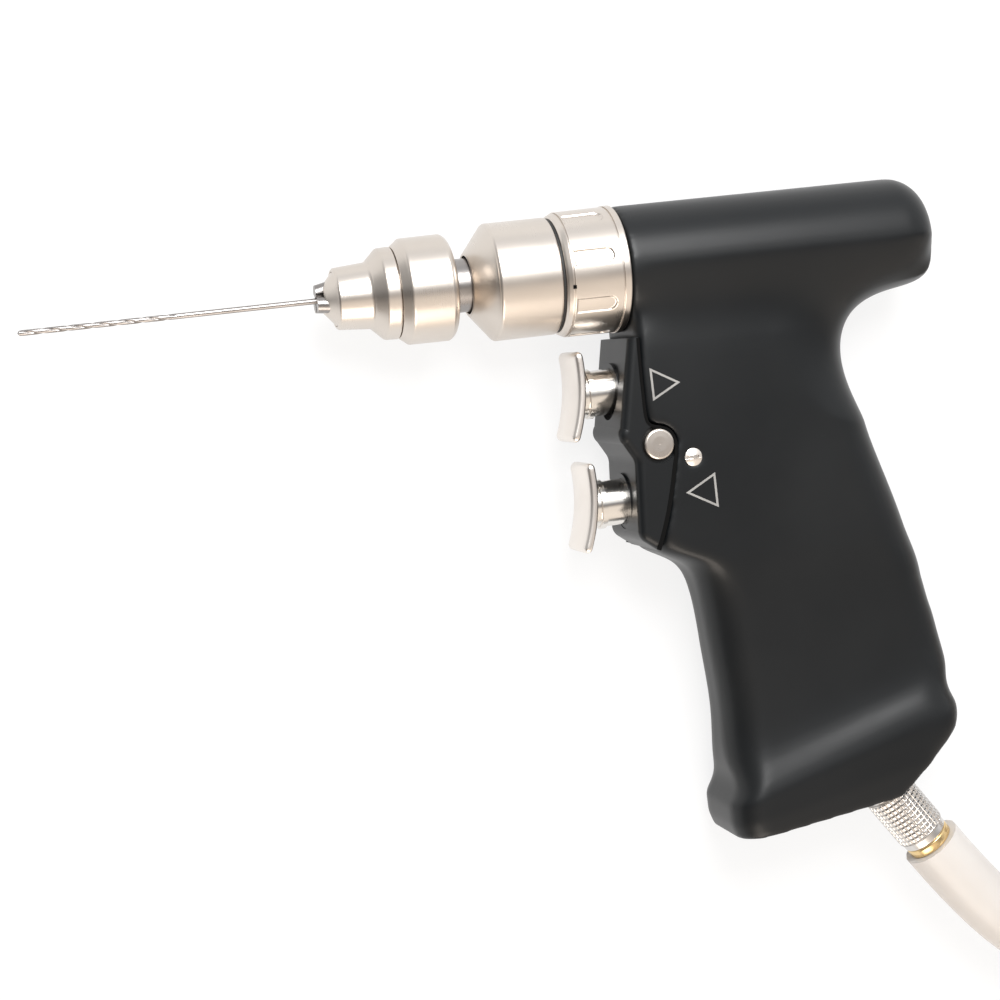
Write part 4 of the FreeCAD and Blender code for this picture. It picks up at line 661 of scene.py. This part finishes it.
handling, given, made = new_group("handled_patches", [
    ("Vector", VECTOR, None), ("Scale", FLOAT, 30.0), ("Low", FLOAT, 0.35), ("High", FLOAT, 0.7)],
    [("Mask", FLOAT)])
patch = noise(handling, given.outputs["Vector"], given.outputs["Scale"], 4.0, 0.5)
span = math_node(handling, "SUBTRACT", given.outputs["High"], given.outputs["Low"])
lift = math_node(handling, "DIVIDE", math_node(handling, "SUBTRACT", patch, given.outputs["Low"]), span)
clamp = handling.nodes.new("ShaderNodeClamp")
handling.links.new(lift, clamp.inputs["Value"])
handling.links.new(clamp.outputs[0], made.inputs["Mask"])

dust, given, made = new_group("dust_specks", [
    ("Vector", VECTOR, None), ("Scale", FLOAT, 900.0), ("Amount", FLOAT, 0.03)], [("Mask", FLOAT)])
cells = dust.nodes.new("ShaderNodeTexVoronoi")
dust.links.new(given.outputs["Vector"], cells.inputs["Vector"])
dust.links.new(given.outputs["Scale"], cells.inputs["Scale"])
near = math_node(dust, "LESS_THAN", cells.outputs["Distance"], given.outputs["Amount"])
dust.links.new(near, made.inputs["Mask"])
print("shader groups", [g.name for g in bpy.data.node_groups])

# %% [markdown]
# ## Finishes
#
# One function makes a finish from a plain description: colour, the range of its roughness, and which of
# the groups it uses. Colours vary a little between two tones by the patches, which is what keeps a dark
# coating or a steel from looking like plastic.

# %% Materials


def finish(name, tone, other_tone, metallic, rough, rough_high, coat=0.0, specular=0.5, marks=None,
           grain_scale=None, bump=0.1, bump_distance=2e-5, patches=35.0, dusty=0.0, subsurface=0.0):
    """A Principled material. Base colour runs from tone to other_tone and roughness from rough to
    rough_high by the handled patches; the bump comes from turning marks or from the blasted grain."""
    material = bpy.data.materials.new(name)
    material.use_nodes = True
    tree = material.node_tree
    shader = tree.nodes["Principled BSDF"]
    shader.inputs["Metallic"].default_value = metallic
    shader.inputs["Coat Weight"].default_value = coat
    shader.inputs["Coat Roughness"].default_value = 0.18
    shader.inputs["Specular IOR Level"].default_value = specular
    if subsurface:
        shader.inputs["Subsurface Weight"].default_value = subsurface
        shader.inputs["Subsurface Radius"].default_value = (0.004, 0.0035, 0.003)
    here = tree.nodes.new("ShaderNodeTexCoord").outputs["Object"]

    def use(group, **values):
        """A node of the group, fed with the Object coordinates and the given values."""
        node = tree.nodes.new("ShaderNodeGroup")
        node.node_tree = group
        tree.links.new(here, node.inputs["Vector"])
        for key, value in values.items():
            node.inputs[key].default_value = value
        return node

    patch_mask = use(handling, Scale=patches).outputs["Mask"]
    colour = tree.nodes.new("ShaderNodeMix")
    colour.data_type = "RGBA"
    colour.inputs["A"].default_value = (*tone, 1)
    colour.inputs["B"].default_value = (*other_tone, 1)
    tree.links.new(patch_mask, colour.inputs["Factor"])
    result = colour.outputs["Result"]
    if dusty:
        specks = tree.nodes.new("ShaderNodeMix")
        specks.data_type = "RGBA"
        specks.inputs["B"].default_value = (0.32, 0.31, 0.30, 1)
        tree.links.new(result, specks.inputs["A"])
        mask = math_node(tree, "MULTIPLY", use(dust, Amount=dusty).outputs["Mask"], patch_mask)
        tree.links.new(mask, specks.inputs["Factor"])
        result = specks.outputs["Result"]
    tree.links.new(result, shader.inputs["Base Color"])

    texture = use(turning, Pitch=marks) if marks else use(grain, Scale=grain_scale)
    level = math_node(tree, "MULTIPLY_ADD", patch_mask, rough_high - rough, rough)
    level = math_node(tree, "MULTIPLY_ADD", texture.outputs["Mask"], 0.05, level)
    tree.links.new(level, shader.inputs["Roughness"])
    relief = tree.nodes.new("ShaderNodeBump")
    relief.inputs["Strength"].default_value = bump
    relief.inputs["Distance"].default_value = bump_distance
    tree.links.new(texture.outputs["Height"], relief.inputs["Height"])
    tree.links.new(relief.outputs["Normal"], shader.inputs["Normal"])
    return material


black_coating = finish("black_coating_finish", (0.0042, 0.0052, 0.0062), (0.0058, 0.0068, 0.0078), 0.0,
                       0.33, 0.39, specular=0.34, grain_scale=6000.0, bump=0.06, patches=22.0, dusty=0.012)
# nearly black: painted shade in the seam of the trigger block and in the screw's slot, and the real colour of
# the ring's index mark
painted_shade_and_mark_black = finish("painted_shade_and_mark_finish", (0.002, 0.002, 0.002), (0.003, 0.003, 0.003), 0.0, 0.75, 0.85,
                      specular=0.1, grain_scale=3000.0, bump=0.1)
satin_steel = finish("satin_steel_finish", (0.68, 0.625, 0.57), (0.63, 0.575, 0.52), 1.0, 0.25, 0.31,
                     marks=9000.0, bump=0.10, patches=60.0)
pad_steel = finish("pad_steel_finish", (0.86, 0.81, 0.76), (0.80, 0.75, 0.70), 1.0, 0.30, 0.36,
                   grain_scale=7000.0, bump=0.05, patches=70.0)
knurl_steel = finish("knurl_steel_finish", (0.70, 0.68, 0.66), (0.62, 0.60, 0.58), 1.0, 0.26, 0.34,
                     grain_scale=6000.0, bump=0.05, patches=90.0)
stem_steel = finish("polished_stem_finish", (0.80, 0.77, 0.73), (0.74, 0.71, 0.67), 1.0, 0.14, 0.20,
                    marks=12000.0, bump=0.05, patches=90.0)
bit_steel = finish("drill_steel_finish", (0.34, 0.32, 0.31), (0.27, 0.255, 0.245), 1.0, 0.24, 0.32,
                   marks=15000.0, bump=0.05, patches=120.0)
hard_steel = finish("ground_steel_finish", (0.56, 0.56, 0.57), (0.50, 0.50, 0.51), 1.0, 0.22, 0.30,
                    marks=14000.0, bump=0.06, patches=90.0)
wire_steel = finish("spring_wire_finish", (0.48, 0.48, 0.50), (0.42, 0.42, 0.44), 1.0, 0.25, 0.35,
                    grain_scale=9000.0, bump=0.05, patches=120.0)
turned_aluminium = finish("turned_aluminium_finish", (0.80, 0.80, 0.81), (0.76, 0.76, 0.77), 1.0, 0.25, 0.33,
                          marks=8000.0, bump=0.12, patches=60.0)
brass = finish("brass_finish", (0.83, 0.62, 0.32), (0.76, 0.55, 0.27), 1.0, 0.20, 0.28,
               marks=11000.0, bump=0.08, patches=80.0)
bronze = finish("sintered_bronze_finish", (0.52, 0.36, 0.20), (0.44, 0.30, 0.17), 1.0, 0.45, 0.6,
                grain_scale=5000.0, bump=0.5, bump_distance=8e-5, patches=120.0)
black_rubber = finish("black_rubber_finish", (0.010, 0.010, 0.010), (0.016, 0.016, 0.016), 0.0, 0.55, 0.65,
                      grain_scale=4000.0, bump=0.15, patches=70.0)
vane_resin = finish("vane_resin_finish", (0.20, 0.12, 0.06), (0.14, 0.08, 0.04), 0.0, 0.5, 0.6,
                    marks=4000.0, bump=0.2, patches=60.0)
hose_silicone = finish("hose_silicone_finish", (0.59, 0.567, 0.545), (0.55, 0.523, 0.50), 0.0, 0.38, 0.46,
                       coat=0.1, grain_scale=3500.0, bump=0.10, patches=28.0, subsurface=0.15)
print("finishes", len(bpy.data.materials))

# %% [markdown]
# ## Hand the finishes out
#
# Every solid gets the finish of the real piece, also where only some pose or some side shows it: the gears
# and bearings inside are ground steel, and the housing, the trigger block and its two bushes share the black
# coating. Pads and screw are a little lighter than the turned steel, the knurl has a steel of its own, and
# shaft and jaws are as dark as the bit. The faces in the screw's slot get a second, nearly black material,
# which is painted shade in the slot.

# %% Which piece gets which finish


def dress(piece, material):
    """Give the whole piece one material."""
    if not piece.material_slots:
        piece.data.materials.append(material)
    for place in piece.material_slots:
        place.link = "OBJECT"
        place.material = material


slot_finish = {
    "black_coating": black_coating, "satin_steel": satin_steel, "bright_steel": stem_steel,
    "hard_steel": hard_steel, "spring_steel": wire_steel, "brass": brass, "aluminium": turned_aluminium,
    "black_rubber": black_rubber, "vane_resin": vane_resin, "hose_silicone": hose_silicone,
    "filter_bronze": bronze,
}
for part in frame["record"]["subparts"]:
    dress(bpy.data.objects[part["node"]], slot_finish[part["material_slot"]])
pieces_by_finish = [
    (satin_steel, (collar, rear, front, ring, button)),
    (pad_steel, (upper_pad, lower_pad, screw)),
    (knurl_steel, (coupling,)),
    (bit_steel, (bit, "drive_shaft", "chuck_jaw_1", "chuck_jaw_2", "chuck_jaw_3")),
    (stem_steel, ("upper_trigger_stem", "lower_trigger_stem")),
    (black_rubber, (seal,)),
    (brass, (ferrule,)),
    (black_coating, (shell, "upper_bush", "lower_bush")),
    (hose_silicone, (hose,)),
]
for material, pieces in pieces_by_finish:
    for piece in pieces:
        dress(bpy.data.objects[piece] if isinstance(piece, str) else piece, material)

# the slot's faces get the nearly black finish: painted shade in the slot
screw.data.materials.append(painted_shade_and_mark_black)
face_middle = np.empty(len(screw.data.polygons) * 3)
screw.data.polygons.foreach_get("center", face_middle)
face_middle = face_middle.reshape(-1, 3) * 1000 - SHIFT - SCREW
painted_slot_shade = (np.abs(face_middle[:, 1]) < 0.34) & (face_middle[:, 2] > 0.1)
screw.data.polygons.foreach_set("material_index", painted_slot_shade.astype(np.int32))
print("faces in the screw's slot", int(painted_slot_shade.sum()))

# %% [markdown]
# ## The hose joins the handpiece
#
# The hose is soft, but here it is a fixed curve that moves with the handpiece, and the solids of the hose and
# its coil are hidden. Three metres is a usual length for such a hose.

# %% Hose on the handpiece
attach(hose, "handpiece")
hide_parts("air_hose", "air_hose_coil")
print("cord from", np.round(route[0] * 1000, 1).tolist())

# %% [markdown]
# ## Springs
#
# Behind each trigger stem and under the button sits a coil spring. Each spring gets a mesh of its own here;
# the table also lists its press, direction and travel, which nothing here reads.

# %% Springs
for node, joint, way, travel in (("upper_trigger_spring", "upper_trigger_press", (1, 0, 0), 0.0045),
                                 ("lower_trigger_spring", "lower_trigger_press", (1, 0, 0), 0.0045),
                                 ("button_spring", "side_button_press", (0, 0, -1), 0.002)):
    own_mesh(bpy.data.objects[node])

# %% [markdown]
# ## Marks on the grip and the ring
#
# Two triangles beside the triggers show which way each one drives. They are printed lines, about half a
# millimetre wide, so each is a thin band laid on the housing: its points are dropped on the surface along
# Z, and lie a few hundredths of a millimetre over it. The locking ring's small black index mark is a block
# that bridges the groove near the ring's front.

# %% Triangles and index mark
housing_tree = BVHTree.FromObject(shell, bpy.context.evaluated_depsgraph_get())


def on_housing(x, y):
    """Height of the housing's near side at a point of the ruler, in millimetres."""
    start = Vector(to_frame((x, y, 40)))
    hit = housing_tree.ray_cast(start, Vector((0, 0, -1)))[0]
    return hit.z * 1000 - SHIFT[2]


def printed_triangle(name, corners, width=0.56, proud=0.04, sunk=0.05):
    """A closed band along three sides: the outer edge is the triangle, the inner one the same triangle
    shrunk to its middle. Each side is cut in 12 parts, which are dropped on the housing."""
    corners = np.array(corners, float)
    middle = corners.mean(axis=0)
    side = np.linalg.norm(corners - np.roll(corners, -1, axis=0), axis=1)
    area = 0.5 * abs(np.cross(corners[1] - corners[0], corners[2] - corners[0]))
    inner_share = 1 - width / (2 * area / side.sum())
    share = np.linspace(0, 1, 12, endpoint=False)[None, :, None]
    path = (corners[:, None] * (1 - share) + np.roll(corners, -1, axis=0)[:, None] * share).reshape(-1, 2)
    inner = middle + (path - middle) * inner_share
    flat = np.stack([path, middle + (path - middle) * (inner_share + 1) / 2, inner])
    height = np.array([[on_housing(*p) for p in line] for line in flat])
    top = np.dstack([flat, height + proud])
    under = np.dstack([flat, height - sunk])
    grid = np.concatenate([under[:1], top, under[2:]])
    dress(surface(name, "handpiece", grid, close_u=True), mark_print)


mark_print = finish("printed_mark_finish", (0.30, 0.295, 0.285), (0.24, 0.235, 0.23), 0.0, 0.5, 0.6,
                    grain_scale=7000.0, bump=0.05, patches=200.0)
printed_triangle("upper_direction_mark", [(2.45, -26.7), (10.46, -31.3), (2.58, -35.35)])
printed_triangle("lower_direction_mark", [(8.91, -60.3), (17.47, -55.9), (17.56, -65.2)])

mark_turn = math.acos(-3.8 / 16.5) + np.linspace(-0.028, 0.028, 5)[None]
mark_place = np.linspace(-16.05, -15.15, 5)[[0, 0, 1, 2, 3, 4, 4], None]
mark_radius = np.array([16.2, 16.53, 16.53, 16.53, 16.53, 16.53, 16.2])[:, None]
index_grid = np.stack([mark_place + 0 * mark_turn, mark_radius * np.cos(mark_turn),
                       mark_radius * np.sin(mark_turn)], axis=-1)
index_mark = surface("ring_index_mark", "lock_ring", index_grid, close_u=True, close_v=False)
dress(index_mark, painted_shade_and_mark_black)
print("marks stand at", round(on_housing(5, -31), 2), round(on_housing(14, -60), 2))

# %% [markdown]
# ## Painted shade in the seam of the trigger block
#
# The block is let into the housing, and both have broken edges there, so the joint is a narrow groove in
# shade. That shade is painted: a black line nearly a millimetre wide, a little wider below the button. The
# line is a flat ribbon along the joint, on both sides of the grip. Its course is a short list of corners, cut
# back three times until it runs in curves.

# %% Painted shade along the seam


def rounded_course(points, rounds=3):
    """The open line with its corners cut: each round puts two points on every run, at a quarter and
    at three quarters of it, and keeps both ends."""
    line = np.array(points, float)
    for _ in range(rounds):
        a, b = line[:-1], line[1:]
        inner = np.stack([a * 0.75 + b * 0.25, a * 0.25 + b * 0.75], axis=1).reshape(-1, 2)
        line = np.concatenate([line[:1], inner, line[-1:]])
    return line


seam_course = rounded_course([
    (0.45, -18.6), (0.25, -27.0), (0.25, -34.0), (0.25, -39.9), (1.4, -41.6), (3.9, -42.1), (6.6, -43.2),
    (8.0, -46.5), (7.7, -49.5), (6.9, -53.5), (5.3, -60.2), (3.2, -67.2), (0.3, -74.4),
])
along = np.gradient(seam_course, axis=0)
across = np.stack([-along[:, 1], along[:, 0]], axis=1) / np.linalg.norm(along, axis=1, keepdims=True)
lower_part = smooth_step(-seam_course[:, 1:], 47, 54)
edge_a = seam_course + across * 0.2
edge_b = seam_course - across * (0.62 + 0.3 * lower_part)
for side_name, side in (("near", 1), ("far", -1)):
    ribbon = np.stack([np.column_stack([edge, np.full(len(edge), side * level)])
                       for edge, level in ((edge_a, 13.4), (edge_a, 13.96), (edge_b, 13.96), (edge_b, 13.4))])
    # a flat black ribbon: painted shade of the groove between block and housing
    painted_seam_shade = surface(f"seam_line_{side_name}", "handpiece", ribbon, close_u=True, close_v=False)
    dress(painted_seam_shade, painted_shade_and_mark_black)
print("seam line points", len(seam_course))

# %% [markdown]
# ## White sheet
#
# The drill lies on a white sheet. To the eye and to shiny metal the sheet glows and is plain white; to the
# light it is ordinary white paper.

# %% White sheet
SHEET_REACH, SHEET_LEVEL, SHEET_GLOW = 6.0, -2e-4, 0.82
floor_mesh = bpy.data.meshes.new("white_sheet")
floor_mesh.from_pydata([(sx * SHEET_REACH, sy * SHEET_REACH, SHEET_LEVEL)
                        for sx, sy in ((-1, -1), (1, -1), (1, 1), (-1, 1))], [], [(0, 1, 2, 3)])
floor = bpy.data.objects.new("white_sheet", floor_mesh)
bpy.context.scene.collection.objects.link(floor)
sheet = bpy.data.materials.new("white_sheet_finish")
sheet.use_nodes = True
sheet.node_tree.nodes["Principled BSDF"].inputs["Base Color"].default_value = (0.93, 0.93, 0.93, 1)
sheet.node_tree.nodes["Principled BSDF"].inputs["Roughness"].default_value = 0.9
floor.data.materials.append(sheet)
tree = sheet.node_tree
path = tree.nodes.new("ShaderNodeLightPath")
seen = math_node(tree, "MAXIMUM", path.outputs["Is Camera Ray"], path.outputs["Is Glossy Ray"])
seen = math_node(tree, "MAXIMUM", seen, path.outputs["Is Transmission Ray"])
white = tree.nodes.new("ShaderNodeEmission")
blend = tree.nodes.new("ShaderNodeMixShader")
tree.links.new(math_node(tree, "MULTIPLY", seen, SHEET_GLOW), blend.inputs[0])
tree.links.new(tree.nodes["Principled BSDF"].outputs[0], blend.inputs[1])
tree.links.new(white.outputs[0], blend.inputs[2])
tree.links.new(blend.outputs[0], tree.nodes["Material Output"].inputs["Surface"])
print("sheet from", -SHEET_REACH, "to", SHEET_REACH, "m")

# %% [markdown]
# ## Room
#
# The room behind is white to the eye and a soft even light to everything else. A narrow grey strip in it
# gives the round metal its thin dark line.

# %% Room
world = bpy.data.worlds.new("studio")
bpy.context.scene.world = world
world.use_nodes = True
tree = world.node_tree
room = tree.nodes["Background"]
ray = tree.nodes.new("ShaderNodeTexCoord").outputs["Generated"]
split = tree.nodes.new("ShaderNodeSeparateXYZ")
tree.links.new(ray, split.inputs[0])
ramp = tree.nodes.new("ShaderNodeValToRGB")
ramp.color_ramp.elements[0].position, ramp.color_ramp.elements[0].color = 0.0, (0.92, 0.83, 0.74, 1)
ramp.color_ramp.elements[1].position, ramp.color_ramp.elements[1].color = 1.0, (0.85, 0.86, 0.88, 1)
for position, shade in ((0.34, (0.95, 0.86, 0.77)), (0.43, (0.22, 0.20, 0.19)), (0.50, (0.26, 0.26, 0.27)),
                        (0.57, (1.0, 1.0, 1.0)), (0.80, (1.0, 1.0, 1.0))):
    element = ramp.color_ramp.elements.new(position)
    element.color = (*shade, 1)
tree.links.new(math_node(tree, "MULTIPLY_ADD", split.outputs["Y"], 0.5, 0.5), ramp.inputs["Fac"])
tree.links.new(ramp.outputs["Color"], room.inputs["Color"])
# the room is dimmer ahead of the bit, so that faces turned to the front show darker
ahead = tree.nodes.new("ShaderNodeMapRange")
ahead.inputs["From Min"].default_value, ahead.inputs["From Max"].default_value = -0.9, -0.1
ahead.inputs["To Min"].default_value, ahead.inputs["To Max"].default_value = 0.35, 1.1
tree.links.new(split.outputs["X"], ahead.inputs["Value"])
tree.links.new(ahead.outputs["Result"], room.inputs["Strength"])
path = tree.nodes.new("ShaderNodeLightPath")
backdrop = tree.nodes.new("ShaderNodeBackground")
backdrop.inputs["Color"].default_value = (1, 1, 1, 1)
mix = tree.nodes.new("ShaderNodeMixShader")
tree.links.new(path.outputs["Is Camera Ray"], mix.inputs[0])
tree.links.new(room.outputs[0], mix.inputs[1])
tree.links.new(backdrop.outputs[0], mix.inputs[2])
tree.links.new(mix.outputs[0], tree.nodes["World Output"].inputs["Surface"])
print("shades in the room", len(ramp.color_ramp.elements))

# %% [markdown]
# ## Lamps
#
# Both lamps are wide and soft: one above the barrel, and a weaker warm one from below the grip.

# %% Lamps


def lamp(name, place, target, size, power, colour=(1, 1, 1)):
    """A square area lamp at a place in metres, turned to a target."""
    data = bpy.data.lights.new(name, "AREA")
    data.shape = "SQUARE"
    data.size = size
    data.energy = power
    data.color = colour
    item = bpy.data.objects.new(name, data)
    bpy.context.scene.collection.objects.link(item)
    way = Vector(target) - Vector(place)
    item.matrix_world = Matrix.Translation(place) @ way.to_track_quat("-Z", "Y").to_matrix().to_4x4()
    return item


lamp("top_softbox", (0.05, 0.55, 0.75), (0.03, 0.03, 0.0), 0.5, 9.0)
lamp("warm_fill", (-0.15, -0.8, 0.5), (0.03, 0.0, 0.0), 0.6, 4.0, (1.0, 0.9, 0.8))
bpy.context.scene.view_settings.view_transform = "Standard"
print("lamps", [light.name for light in bpy.data.lights])
